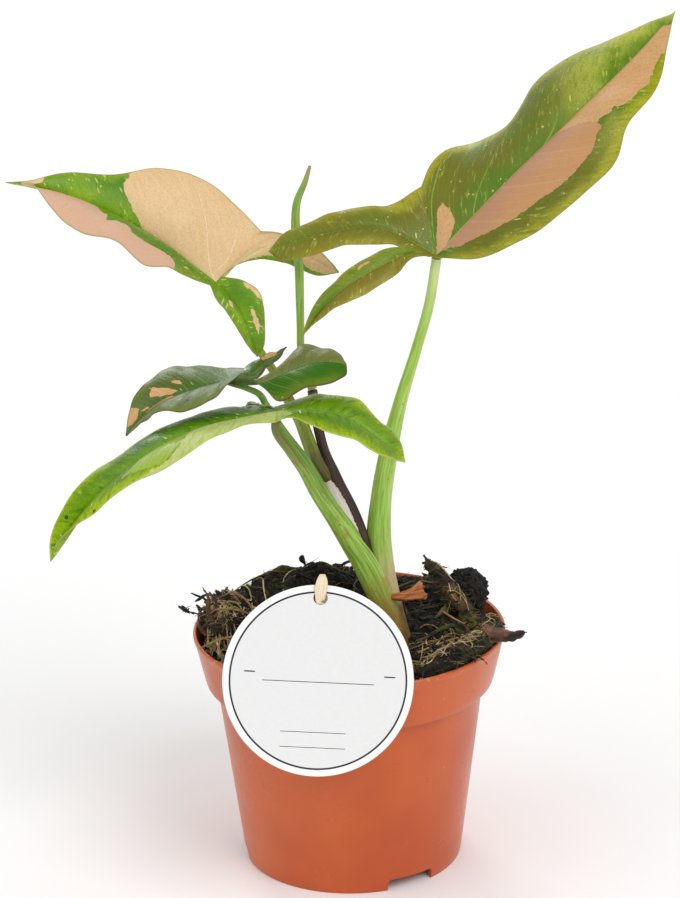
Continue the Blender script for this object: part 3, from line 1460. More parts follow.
LEAF_LEFT = Blade(
    name="leaf_left", joint=(-47, 8, 229), dips=((-49, 4, 229), (-45, 9, 231), (-30, 21, 245)),
    lobes=(
        Lobe(
            rib=[(-60, 8, 239.8), (-80, 8, 253.8), (-103, 4, 265.6), (-122.7, 0, 271)],
            left=[
                (-54, -3, 233), (-63, -14, 241), (-72, -20, 244), (-80, -18, 252), (-95, -14, 255),
                (-106, -6, 263), (-114, 1, 270)],
            right=[
                (-38, 24, 253), (-51, 26, 264), (-67, 24, 269), (-85, 16, 269), (-103, 8, 272),
                (-114, 2, 271)],
            spacing=14.0),
        Lobe(
            rib=[(-39, 2, 220), (-32, -3, 203)],
            left=[(-36, 5, 230), (-31, 2, 227), (-29, 0, 216), (-30, -3, 206)],
            right=[(-47, 3, 224), (-43, 1, 219), (-38, -1, 211), (-34, -3, 205)]),
        Lobe(
            rib=[(-30, 14, 240), (-16, 21, 236), (-1, 21, 228)],
            left=[(-21, 23, 243), (-10, 24, 237), (-4, 23, 232)],
            right=[(-41, 10, 234), (-32, 13, 236), (-21, 18, 233), (-8, 21, 227)])),
    wave=0.4,
    finish=LeafFinish(
        name="left leaf", deep=(76, 128, 6), fresh=(132, 168, 8), pale=(146, 184, 40), rim=(140, 166, 40),
        patch=(224, 190, 142), patch_shade=(206, 166, 118), second=(216, 174, 150),
        second_shade=(214, 172, 146), patch_vein=(244, 218, 184), vein=(150, 186, 60), speck=(214, 212, 110),
        speck_share=0.42, dots=0.12, dark_share=0.004, under=(160, 176, 100), side_veins=0.08, jag=0.9,
        line=(150, 138, 60), line_share=0.6),
    nerves=[
        Nerve(0, Side.RIGHT, [(0, 0), (0.022, 0.03), (0.117, 0.29), (0.194, 0.56), (0.269, 0.79)]),
        Nerve(0, Side.RIGHT, [(0, 0), (0.022, 0.03), (0.026, 0.32), (0.045, 0.57), (0.076, 0.77)])],
    patches=[
        Patch(0, Side.RIGHT, [
            (0.53, 1.1), (0.532, 0.92), (0.544, 0.68), (0.534, 0.52), (0.496, 0.33), (0.466, 0.21),
            (0.423, 0.1), (0.38, 0), (-0.05, 0), (-0.05, 1.1)]),
        Patch(0, Side.RIGHT, [(0.86, 1.1), (0.86, 0.5), (0.89, 0.3), (0.94, 0.4), (0.94, 1.1)]),
        Patch(0, Side.LEFT, [
            (0.93, 0), (0.64, 0), (0.6, 0.1), (0.575, 0.32), (0.556, 0.34), (0.552, 0.56), (0.515, 0.46),
            (0.489, 0.5), (0.47, 0.46), (0.445, 0.6), (0.395, 0.55), (0.345, 0.56), (0.306, 0.6),
            (0.263, 0.68), (0.232, 0.84), (0.226, 1.1), (0.93, 1.1)], Tint.SECOND),
        Patch(2, Side.LEFT, [(-0.05, 0), (1.05, 0), (1, 0.6), (0.85, 0.8), (0.75, 1.1), (-0.05, 1.1)]),
        Patch(2, Side.RIGHT, [
            (-0.05, -0.2), (0.02, 0.3), (0.1, 0.5), (0.25, 0.62), (0.5, 0.6), (0.66, 0.5), (0.75, 0.66),
            (0.87, 0.8), (1.05, 0.85), (1.05, -0.2)]),
        Patch(1, Side.LEFT, [
            (0.226, 0.9), (0.28, 1.1), (0.43, 1.1), (0.48, 0.98), (0.434, 0.83), (0.373, 0.86),
            (0.302, 0.8)]),
        Patch(1, Side.LEFT, [
            (0.479, 0.45), (0.501, 0.6), (0.586, 0.64), (0.68, 0.72), (0.768, 0.59), (0.71, 0.45),
            (0.584, 0.44)]),
        Patch(1, Side.RIGHT, [(0.26, 0.2), (0.3, 0.05), (0.38, 0.3), (0.33, 0.42)])])

LEAF_MIDDLE = Blade(
    name="leaf_middle", joint=(-42, -8, 195), dips=((-38, -20, 202), (-37, -6, 195), (-45, 6, 196)),
    lobes=(
        Lobe(
            rib=[(-54, -9, 193), (-67, -8, 188), (-82, -6, 174)],
            left=[(-43, -24, 199), (-49, -27, 194), (-55, -27, 191), (-68, -21, 188), (-77, -12, 180)],
            right=[(-56, 10, 196), (-65, 8, 196), (-73, 3, 193), (-80, -2, 185)],
            spacing=8.0, tip_tone=0.0, drip=0.55),
        Lobe(
            rib=[(-29, -14, 197), (-20, -14, 201), (-9, -14, 204), (1, -14, 203)],
            left=[(-28, -9, 197), (-20, -5, 203), (-14, -1, 207), (-8, -3, 206), (-1, -9, 205)],
            right=[
                (-32, -20, 199), (-28, -21, 195), (-25, -23, 192), (-16, -26, 197), (-4, -23, 199),
                (1, -17, 200)],
            spacing=5.0, tones=(-0.5, 1.0)),
        Lobe(
            rib=[(-33, -3, 197), (-27, 0, 201), (-21, 2, 205)],
            left=[(-37, 4, 197), (-31, 3, 201), (-26, 3, 203)],
            right=[(-32, -4, 195), (-29, -2, 198), (-24, 1, 201)])),
    wave=0.4,
    finish=LeafFinish(
        name="middle leaf", deep=(76, 92, 14), fresh=(56, 106, 10), pale=(10, 102, 0), warm=(146, 132, 62),
        rim=(112, 132, 34), line=(96, 62, 56), line_share=0.85, patch=(212, 166, 108),
        patch_shade=(190, 140, 90), second=(190, 150, 110), vein=(150, 170, 110), speck_share=0.03, dots=0.02,
        under=(112, 140, 70), rib_reach=7.0, side_veins=0.22, streaks=0.4, jag=0.8, gloss=0.32, sheen=0.42),
    patches=[
        Patch(0, Side.RIGHT, [
            (0.435, 0.53), (0.423, 0.42), (0.37, 0.33), (0.366, 0.23), (0.401, 0.28), (0.437, 0.37)]),
        Patch(0, Side.RIGHT, [
            (0.611, 0.51), (0.573, 0.59), (0.529, 0.42), (0.467, 0.24), (0.42, 0.1), (0.479, 0.08),
            (0.568, 0.17), (0.623, 0.36)]),
        Patch(0, Side.RIGHT, [
            (0.83, 1.1), (0.8, 0.9), (0.75, 0.4), (0.789, 0.33), (0.839, 0.25), (0.882, 0.3), (0.937, 0.69),
            (0.93, 1.1)]),
        Patch(0, Side.RIGHT, [(0.755, 0.29), (0.704, 0.24), (0.681, 0.18), (0.693, 0.12), (0.728, 0.16)]),
        Patch(0, Side.RIGHT, [(0.74, -0.1), (0.73, 0.1), (0.6, 0.07), (0.48, 0.05), (0.42, -0.1)]),
        Patch(0, Side.LEFT, [(0.42, -0.1), (0.47, 0.1), (0.6, 0.14), (0.72, 0.1), (0.74, -0.1)]),
        Patch(2, Side.LEFT, [
            (0.587, 0.8), (0.67, 0.85), (0.767, 1.1), (0.851, 0.85), (0.813, 0.1), (0.702, 0.25),
            (0.591, 0.37)])])

LEAF_FRONT = Blade(
    name="leaf_front", joint=(-25, -20, 187), dips=((-26, -24, 184), (-25, -17, 188), (-35, -16, 186)),
    lobes=(
        Lobe(
            rib=[(-39, -24, 186), (-53, -28, 184), (-72, -32, 176), (-90, -34, 162), (-110, -34, 135)],
            left=[
                (-37, -32, 186), (-45, -38, 185), (-60, -46, 178), (-77, -48, 170), (-90, -46, 160),
                (-100, -41, 151), (-108, -36, 141)],
            right=[
                (-39, -11, 186), (-52, -13, 185), (-63, -15, 182), (-80, -20, 174), (-95, -25, 165),
                (-104, -30, 156), (-110, -34, 142)],
            spacing=10.0, tones=(0.5, 0.12), tip_tone=0.9, drip=0.72),
        Lobe(
            rib=[(-13, -24, 189), (0, -28, 187), (13, -31, 179), (22, -31, 170)],
            left=[(-15, -16, 191), (-5, -16, 192), (5, -18, 190), (13, -21, 183), (21, -27, 175)],
            right=[(-20, -27, 187), (-11, -34, 185), (0, -39, 183), (11, -39, 177), (18, -35, 172)],
            spacing=7.0, tones=(0.5, 0.4), drip=0.86),
        Lobe(
            rib=[(-31, -11, 186), (-39, 0, 182)],
            left=[(-37, -10, 185), (-40, -4, 183)],
            right=[(-30, -10, 186), (-35, -2, 185)])),
    wave=0.5,
    finish=LeafFinish(
        name="front leaf", deep=(46, 92, 8), fresh=(104, 152, 6), pale=(170, 202, 4), rim=(176, 200, 8),
        patch=(192, 202, 122), patch_shade=(158, 178, 84), second=(138, 168, 10), second_shade=(146, 176, 24),
        vein=(140, 184, 80), patch_vein=(214, 220, 160), speck=(226, 236, 190), speck_share=0.05, dots=0.1,
        dark_share=0.11, line=(186, 196, 100), line_share=0.6, patch_streaks=0.9, under=(140, 172, 76),
        rib_reach=6.0, side_veins=0.14, streaks=0.62, jag=1.6, gloss=0.3, sheen=0.4),
    patches=[
        Patch(0, Side.LEFT, [
            (-0.05, 0), (0.31, 0), (0.33, 0.3), (0.36, 0.58), (0.41, 0.84), (0.5, 0.92), (0.55, 1.1),
            (-0.05, 1.1)]),
        Patch(1, Side.RIGHT, [
            (-0.05, -0.1), (0.03, -0.1), (0.09, 0.25), (0.13, 0.6), (0.08, 0.85), (0.05, 1.1), (-0.05, 1.1)]),
        Patch(0, Side.LEFT, [
            (0.3, 0.02), (0.45, 0.02), (0.524, 0.33), (0.587, 0.56), (0.476, 0.8), (0.424, 0.84),
            (0.367, 0.61), (0.33, 0.3)], Tint.SECOND)])


# ---------------------------------------------------------------- stalks and stem


@dataclass
class Stalks:
    """The four leaf stalks, the rolled new leaf and the old stem: x, y, z and radius."""

    right: tuple = (
        (32, -3, 222, 1.9), (27, -2, 204, 2.0), (21, -1, 184, 2.5), (15.5, 0, 160, 3.6), (13, 1, 144, 4.0),
        (12, 1.5, 128, 4.7), (13.5, 1, 114, 4.6), (17.3, -1, 99, 3.8), (20, -2, 88, 3.6), (20, -2, 66, 3.4))
    front: tuple = (
        (-25.6, -19, 180, 1.7), (-20.6, -18, 171, 1.9), (-15.8, -17, 163, 2.1), (-11.8, -15, 154, 2.3),
        (-4, -13, 141, 3.2), (1, -11, 132, 3.9), (6, -9, 123, 4.6), (10, -8.5, 114, 4.8),
        (15, -8.5, 102, 4.4), (19.5, -9.5, 90, 3.0), (20, -9.5, 74, 2.8))
    middle: tuple = (
        (-36, -10, 193, 1.1), (-32, -10, 191, 1.2), (-29, -7, 185, 1.3), (-23, -7, 175, 1.4),
        (-15, -6, 163, 1.5), (-6, -5.5, 146, 1.8), (2, -5.5, 133, 2.2), (7, -6, 122, 2.2))
    left: tuple = (
        (-38, 9, 215, 1.5), (-31, 9, 201, 1.5), (-26, 8, 193, 1.7), (-21, 6, 183, 2.1), (-17, 4, 176, 2.4),
        (-14, 2, 168, 2.6), (-11, 0, 160, 2.7), (-8, 0, 155, 2.3), (-5.4, 0.8, 151, 1.5))
    new_leaf: tuple = (
        (-11, 11, 272, 0.5), (-13, 11, 266, 0.9), (-16, 11, 259, 1.2), (-17, 11, 248, 1.5),
        (-16, 11, 232, 1.5), (-16, 10, 221, 1.4), (-16, 8, 210, 1.3), (-16, 6, 203, 1.3), (-14, 4, 194, 1.4),
        (-12, 3, 188, 1.6))
    old_stem: tuple = (
        (-12, 3, 187.4, 1.9), (-10, 3, 172, 1.9), (-8, 3, 163, 2.0), (-5.4, 2, 154.5, 3.0),
        (-3.4, 1.4, 150.5, 2.8), (2, 0, 140, 2.5), (5, -1, 132, 2.5), (8, -2, 122, 2.2))

    def build(self, shop: Shop, seats: dict[str, Seat]) -> None:
        """Make and dress every stalk.

        Args:
            shop: makes the meshes.
            seats: where each blade takes its stalk, by the blade's name.
        """
        right, front, middle, left = (seats["leaf_" + name] for name in ("right", "front", "middle", "left"))
        for node, piece, tube, finish in (
            ("stalk_right", "right_stalk", Tube(self.right, 190, 36, right, 0.035, 7),
             StalkFinish("right stalk", (178, 210, 96), (132, 180, 52), (204, 220, 146), 34.0,
                         (212, 178, 146), 119, blotches=0.15, ground=(112, 80, 40), ground_level=105)),
            ("stalk_front", "front_stalk", Tube(self.front, 190, 36, front, 0.035, 7),
             StalkFinish("front stalk", (168, 200, 88), (112, 156, 36), (104, 88, 36), 42.0,
                         (152, 104, 44), 109, blotches=0.5, blotch=(150, 108, 46), dot=(92, 108, 36),
                         ground=(96, 58, 30), ground_level=96)),
            ("stalk_middle", "middle_stalk", Tube(self.middle, 190, 36, middle, 0.035, 7),
             StalkFinish("middle stalk", (160, 200, 90), (108, 160, 50), (104, 96, 44), 8.0,
                         (150, 130, 70), 100)),
            ("stalk_left", "left_stalk", Tube(self.left, 150, 28, left, 0.03, 5),
             StalkFinish("left stalk", (166, 180, 70), (124, 140, 40), (170, 180, 90), 4.0,
                         (84, 56, 38), 166, blotches=0.45, dot=(110, 112, 40))),
            ("new_leaf", "rolled_leaf", Tube(self.new_leaf, 170, 28, None, 0.02, 3, roll=0.22),
             StalkFinish("rolled leaf", (150, 184, 76), (104, 146, 40), (158, 140, 92), 11.0,
                         (150, 172, 60), 208, blotches=0.25, dot=(96, 128, 40))),
            ("old_stem", "brown_stem", Tube(self.old_stem, 130, 28, None, 0.04, 5),
             StalkFinish("brown stem", (74, 48, 42), (48, 30, 28), (92, 62, 50), 6.0, (60, 40, 30), 130,
                         blotch=(100, 74, 50), blotches=0.3, dot=(36, 24, 22), gloss=0.5)),
        ):
            shop.declare(tube.build(shop, piece), finish.build(), node)


@dataclass
class DryParts:
    """The papery sheath beside the stem and the curled scale at the stalks' foot."""

    sheath: tuple = (
        (-6.9, -4, 153.5), (-5.0, -4.5, 149), (-1.3, -4.5, 142), (2.0, -4.5, 135), (4.8, -4.5, 130))
    sheath_widths: tuple = (2.4, 4.4, 4.4, 3.2, 1.2)
    scale: tuple = (
        (16.5, -10, 108.6, 1.1), (20.5, -11.6, 109.2, 1.8), (25, -12.2, 110.4, 2.6),
        (28.6, -12.2, 111.6, 3.7))

    def curled(self) -> Sheet:
        """The scale: a sheet rolled round its line, wider and ragged at its mouth."""
        line = smooth_line(self.scale, 48)
        along = unit(np.gradient(line[:, :3], axis=0))
        side = unit(np.cross(along, (0.0, 0.0, 1.0)))
        other = np.cross(side, along)
        angle = np.radians(np.linspace(-60, 235, 33))
        ragged = 1 + 0.16 * np.sin(angle * 5) + 0.1 * np.sin(angle * 13 + 1)
        grid = []
        for k, t in enumerate(np.linspace(0, 1, 49)):
            centre = line[k, :3] + along[k] * (2.6 * (ragged - 1) * t**2)[:, None]
            radius = line[k, 3] * (1 + 0.22 * t * np.sin(angle * 3 + 2) + 0.1 * np.sin(angle * 7 + 5 * t))
            grid.append(centre + side[k] * (np.cos(angle) * radius)[:, None]
                        + other[k] * (np.sin(angle) * radius * 0.85)[:, None])
        return grid_sheet(np.array(grid))

    def build(self, shop: Shop) -> None:
        """Make and dress both."""
        sheet = strip_sheet(self.sheath, self.sheath_widths, [(0.3, -1, 0.1)] * 5, 60, -0.22, 0.3)
        finish = ThinFinish("papery sheath", (240, 228, 224), (222, 204, 198), (206, 186, 176), 0.5, 0.4)
        shop.declare(sheet.solid(shop, "papery_sheath", 0.5), finish.build(), "sheath")
        finish = ThinFinish("dry scale", (198, 122, 62), (148, 72, 36), (96, 46, 26), 0.5, 0.7)
        shop.declare(self.curled().solid(shop, "curled_scale", 0.4), finish.build(), "dry_scale")


# ---------------------------------------------------------------- pot, soil and litter


@dataclass
class Pot:
    """Tapered nursery pot with a rim band, a foot ring with notches and a floor with holes."""

    foot: float = 42.2
    body_top: float = 51.5
    band_low: float = 72.6
    band: float = 55.4
    rim: float = 60.0
    top: float = 92.9
    wall: float = 1.2
    foot_wall: float = 1.8
    floor: float = 5.2
    notch: tuple = (19.6, 4.7)
    notches: tuple = (-59, 61, 181)
    holes: int = 6
    hole_radius: float = 3.5
    hole_circle: float = 27.0
    sides: int = 192
    sharp: float = 32.0

    def inside(self, height: float) -> float:
        """Radius of the inner wall at a height."""
        if height < self.band_low:
            return self.foot + (self.body_top - self.foot) / self.band_low * height - self.wall
        return self.band + (self.rim - self.band) * (height - self.band_low) / 20 - self.wall

    def profile(self) -> list[tuple[float, float]]:
        """Radius and height, from under the floor round the outside to the floor's top."""
        slope = (self.body_top - self.foot) / self.band_low
        above = self.floor + self.wall
        rows = [(0, self.floor), (self.foot - self.foot_wall, self.floor),
                (self.foot - self.foot_wall, 0.0), (self.foot - 0.6, 0.0), (self.foot - 0.15, 0.2),
                (self.foot, 0.7)]
        rows += [(self.foot + slope * z, z) for z in np.linspace(4, self.band_low - 1.0, 14)]
        rows += [(self.body_top + 0.05, self.band_low - 0.5), (self.body_top + 0.5, self.band_low - 0.1),
                 (self.band - 0.9, self.band_low), (self.band - 0.3, self.band_low + 0.15),
                 (self.band, self.band_low + 0.6)]
        rise = (self.rim - self.band) / (self.top - self.band_low)
        rows += [(self.band + rise * (z - self.band_low), z)
                 for z in np.linspace(self.band_low + 3, self.top - 3.2, 5)]
        rows += [(self.rim - 0.55, self.top - 2.2), (self.rim - 0.12, self.top - 1.7),
                 (self.rim, self.top - 1.0), (self.rim - 0.05, self.top - 0.4),
                 (self.rim - 0.35, self.top), (self.rim - 0.9, self.top),
                 (self.rim - self.wall - 0.1, self.top - 0.25), (self.rim - self.wall - 0.3, self.top - 0.9),
                 (self.band - self.wall, self.band_low + self.wall + 0.4),
                 (self.body_top - self.wall, self.band_low - 0.6),
                 (self.foot + slope * above - self.wall, above), (0, above)]
        return rows

    def build(self, shop: Shop) -> None:
        """Turn the profile, cut notches and holes, and dress the pot."""
        points, rows, faces = [], [], []
        for radius, height in self.profile():
            if radius == 0:
                rows.append([len(points)] * self.sides)
                points.append((0, 0, height))
                continue
            rows.append(list(range(len(points), len(points) + self.sides)))
            points += [(radius * math.cos(t), radius * math.sin(t), height) for t in turns(self.sides)]
        for low, high in zip(rows, rows[1:]):
            for s in range(self.sides):
                n = (s + 1) % self.sides
                loop = [low[s], low[n], high[n], high[s]]
                faces.append([p for k, p in enumerate(loop) if p != loop[k - 1]])
        obj = shop.mesh("nursery_pot", np.array(points), faces, self.sharp)
        cutters = [self.notch_cutter(shop, angle) for angle in self.notches]
        for k in range(self.holes):
            turn = math.radians(360 / self.holes * k + 12)
            spot = np.array((self.hole_circle * math.cos(turn), self.hole_circle * math.sin(turn),
                             self.floor + self.wall / 2)) * MM + shop.shift
            bpy.ops.mesh.primitive_cylinder_add(vertices=32, radius=self.hole_radius * MM,
                                                depth=8 * MM, location=spot)
            cutters.append(bpy.context.object)
        for cutter in cutters:
            step = obj.modifiers.new("cut", "BOOLEAN")
            step.operation = "DIFFERENCE"
            step.object = cutter
        shop.baked(obj)
        for cutter in cutters:
            bpy.data.objects.remove(cutter, do_unlink=True)
        obj.data.shade_smooth()
        obj.data.set_sharp_from_angle(angle=math.radians(self.sharp))
        shop.declare(obj, PotFinish().build(), "pot")

    def notch_cutter(self, shop: Shop, angle: float) -> bpy.types.Object:
        """Block with rounded upper corners that cuts a notch through the foot ring.

        Args:
            shop: makes the mesh.
            angle: where the notch lies, in degrees around the pot.

        Returns:
            The cutter object.
        """
        wide, high = self.notch
        arc = np.linspace(0, math.pi / 2, 7)
        half = [(-wide / 2, -2.0)]
        half += [(-wide / 2 + 1.6 - 1.6 * math.cos(t), high - 1.6 + 1.6 * math.sin(t)) for t in arc]
        outline = half + [(-x, z) for x, z in reversed(half)]
        turn = math.radians(angle)
        points = []
        for reach in (self.foot - 10, self.foot + 10):
            for x, z in outline:
                points.append((reach * math.cos(turn) - x * math.sin(turn),
                               reach * math.sin(turn) + x * math.cos(turn), z))
        count = len(outline)
        faces = [tuple(range(count)), tuple(range(2 * count - 1, count - 1, -1))]
        faces += [(k, k + count, (k + 1) % count + count, (k + 1) % count) for k in range(count)]
        return shop.mesh("notch", np.array(points), faces)


@dataclass
class Soil:
    """Peat that fills the pot, with a lumpy top, crumbs, fibres, roots, twigs and sprigs.

    A mound is its height, its place in plan and its half width and depth. Roots, twigs and sprigs
    are given by place; the height of roots and twigs is counted from the soil's top.
    """

    level: float = 85.0
    radius: float = 56.3
    sides: int = 180
    rings: int = 56
    mounds: tuple = (
        (22, -12, 25, 33, 17), (10, 38, 10, 16, 22), (8, -42, 6, 16, 24), (4, 10, -30, 30, 18),
        (8, 32, 40, 26, 16), (-5, 30, -22, 10, 12))
    roots: tuple = (
        ((28, -20, 3.0), (34, -26, 5.5), (41, -27, 4.0), (45, -20, 4.5), (41, -15, 5.0), (35, -17, 3.5)),
        ((30, -34, 3.0), (38, -37, 4.2), (46, -31, 3.0), (52, -20, 4.5)),
        ((26, -14, 2.5), (34, -12, 4.0), (43, -13, 5.2), (50, -8, 3.0)),
        ((22, -26, 2.0), (27, -24, 4.5), (30, -29, 4.0), (27, -33, 2.4)),
        ((-50, -22, 3.0), (-47, -28, 5.0), (-38, -33, 3.4), (-30, -36, 2.6)),
        ((-52, -6, 5.0), (-46, -14, 7.0), (-38, -22, 4.0), (-30, -25, 2.6)),
        ((36, 2, 4.0), (42, -4, 6.0), (49, -2, 5.0), (53, 5, 3.0)))
    twigs: tuple = (
        ((20.5, 25, 0.4, 0.7), (27, 24, 1.2, 1.3), (33, 23, 0.6, 0.4)),
        ((33, 1, 2.0, 0.4), (38, 6, 2.4, 1.5), (43.5, 12, 2.0, 1.2), (47, 15, 1.4, 0.3)),
        ((23.5, -8, 1.0, 0.3), (30, -7, 2.0, 0.7), (38, -4, 2.2, 0.8), (46, 0, 1.4, 0.3)),
        ((40.5, -4, 1.4, 0.5), (45, -7, 1.8, 1.6), (49.5, -9, 1.0, 0.5)),
        ((26, -24, 1.0, 0.4), (32, -22, 1.6, 1.1), (37.5, -17, 1.0, 0.4)),
        ((-34, 22, 0.6, 0.5), (-26, 27, 1.6, 1.5), (-19, 29, 0.8, 0.5)))
    sprigs: tuple = (
        ((-16.0, 30, 102.5, 0.5), (-16.8, 30, 107.4, 0.5), (-17.9, 30, 109.6, 1.2), (-17.5, 30, 110.9, 0.6)),
        ((-5, 30, 104, 0.5), (-0.6, 30, 107.6, 0.6), (2.0, 30, 108.4, 0.4)),
        ((1.2, 31, 104, 0.5), (3.2, 31, 108.0, 0.8), (3.0, 31, 109.4, 0.3)))

    def height(self, x: float, y: float) -> float:
        """Height of the soil's top at a place in plan."""
        lumps = noise.noise(Vector((x * 0.09, y * 0.09, 3.1))) * 3.0
        lumps += noise.noise(Vector((x * 0.22, y * 0.22, 7.7))) * 1.6
        for tall, cx, cy, wide, deep in self.mounds:
            lumps += tall * math.exp(-((x - cx) / wide) ** 2 - ((y - cy) / deep) ** 2)
        edge = min(1.0, max(0.0, (self.radius + 3 - math.hypot(x, y)) / 7))
        return self.level + edge * lumps

    def build(self, shop: Shop, pot: Pot) -> bpy.types.Object:
        """Make and dress the peat, its crumbs, fibres and roots.

        Args:
            shop: makes the meshes.
            pot: the pot that it fills.

        Returns:
            The peat's object.
        """
        turn = 2 * math.pi * (np.arange(self.sides) + 0.5) / self.sides
        low = pot.floor + pot.wall + 0.3
        seam = pot.band_low - 1.4
        points, rows = [(0, 0, low)], []
        for radius, height in ((pot.inside(low) - 0.7, low), (pot.inside(seam) - 0.5, seam),
                               (pot.inside(seam) - 0.4, pot.band_low + 0.5),
                               (pot.band - pot.wall - 1.2, pot.band_low + pot.wall + 1.2)):
            rows.append(np.arange(len(points), len(points) + self.sides))
            points += [(radius * math.cos(t), radius * math.sin(t), height) for t in turn]
        first_top = len(points) + self.sides
        for k in range(self.rings):
            radius = self.radius * (1 - k / self.rings) ** 0.9
            rows.append(np.arange(len(points), len(points) + self.sides))
            for t in turn:
                x, y = radius * math.cos(t), radius * math.sin(t)
                grain = noise.noise(Vector((x * 0.6, y * 0.6, 1.0))) * 1.1
                grain += noise.noise(Vector((x * 1.3, y * 1.3, 5.0))) * 0.6
                points.append((x, y, self.height(x, y) + grain * (k > 0)))
        top = len(points)
        points.append((0, 0, self.height(0, 0)))
        faces = []
        for s in range(self.sides):
            n = (s + 1) % self.sides
            faces.append((0, rows[0][n], rows[0][s]))
            for lower, upper in zip(rows, rows[1:]):
                faces.append((lower[s], lower[n], upper[n], upper[s]))
            faces.append((rows[-1][s], rows[-1][n], top))
        obj = shop.mesh("peat", np.array(points), faces, 80.0)
        peat = TonedFinish("dark peat", (7, 6, 5), (22, 16, 12), (40, 44, 20), 0.06, toned=False)
        shop.declare(obj, peat.build(), "soil")
        self.scatter(shop, obj, first_top)
        self.lay_roots(shop)
        return obj

    def scatter(self, shop: Shop, peat: bpy.types.Object, first: int) -> None:
        """Strew crumbs, shards and fibres over the peat's top.

        Args:
            shop: dresses the pieces.
            peat: the peat's object.
            first: the number of the first point inside the outermost ring of its top.
        """
        surface = bpy.data.objects.new("top", peat.data.copy())
        with opened(surface.data) as shape:
            under = [v for v in shape.verts if v.index < first]
            bmesh.ops.delete(shape, geom=under, context="VERTS")
        for bits, name, finish in (
            (Crumbs(520000.0, 0.35, 2.4), "peat_crumbs",
             TonedFinish("peat crumbs", (8, 7, 6), (38, 29, 21), (60, 64, 28), 0.08)),
            (Crumbs(46000.0, 0.3, 0.9, 7.0, 0.5), "soil_shards",
             TonedFinish("brown shards", (24, 17, 12), (92, 70, 44), (84, 88, 38), 0.1)),
            (Fibres(32000.0, 9, 0.15, 0.3, 1.0), "peat_fibres",
             TonedFinish("loose fibres", (40, 30, 18), (150, 122, 76), (84, 90, 36), 0.1, 0.8)),
        ):
            shop.strew(bits, surface, name, finish, "soil")
        bpy.data.objects.remove(surface, do_unlink=True)

    def lay_roots(self, shop: Shop) -> None:
        """Lay tan roots and mossy twigs on the peat, and dark sprigs that stand up behind the stalks."""
        curls = StalkFinish("dry roots", (176, 140, 92), (128, 94, 58), (150, 116, 76), 3.0,
                            (120, 88, 54), 60, dot=(120, 92, 60), gloss=0.7).build()
        paths = [[(x, y, self.height(x, y) + up - 1.2, 0.42) for x, y, up in path] for path in self.roots]
        shop.lay("root", paths, Tube((), 70, 8, rough=0.12, grain=0.8), curls, "soil")
        mossy = TonedFinish("mossy twigs", (26, 20, 12), (128, 108, 66), (68, 74, 34), 0.12, toned=False)
        paths = [[(x, y, self.height(x, y) + up, thick) for x, y, up, thick in path] for path in self.twigs]
        shop.lay("twig", paths, Tube((), 60, 9, rough=0.35, grain=0.7), mossy.build(), "soil")
        dark = TonedFinish("dark sprigs", (20, 16, 16), (58, 50, 48), (40, 36, 30), 0.0, toned=False)
        shop.lay("sprig", self.sprigs, Tube((), 30, 10, rough=0.12, grain=0.8), dark.build(), "soil")


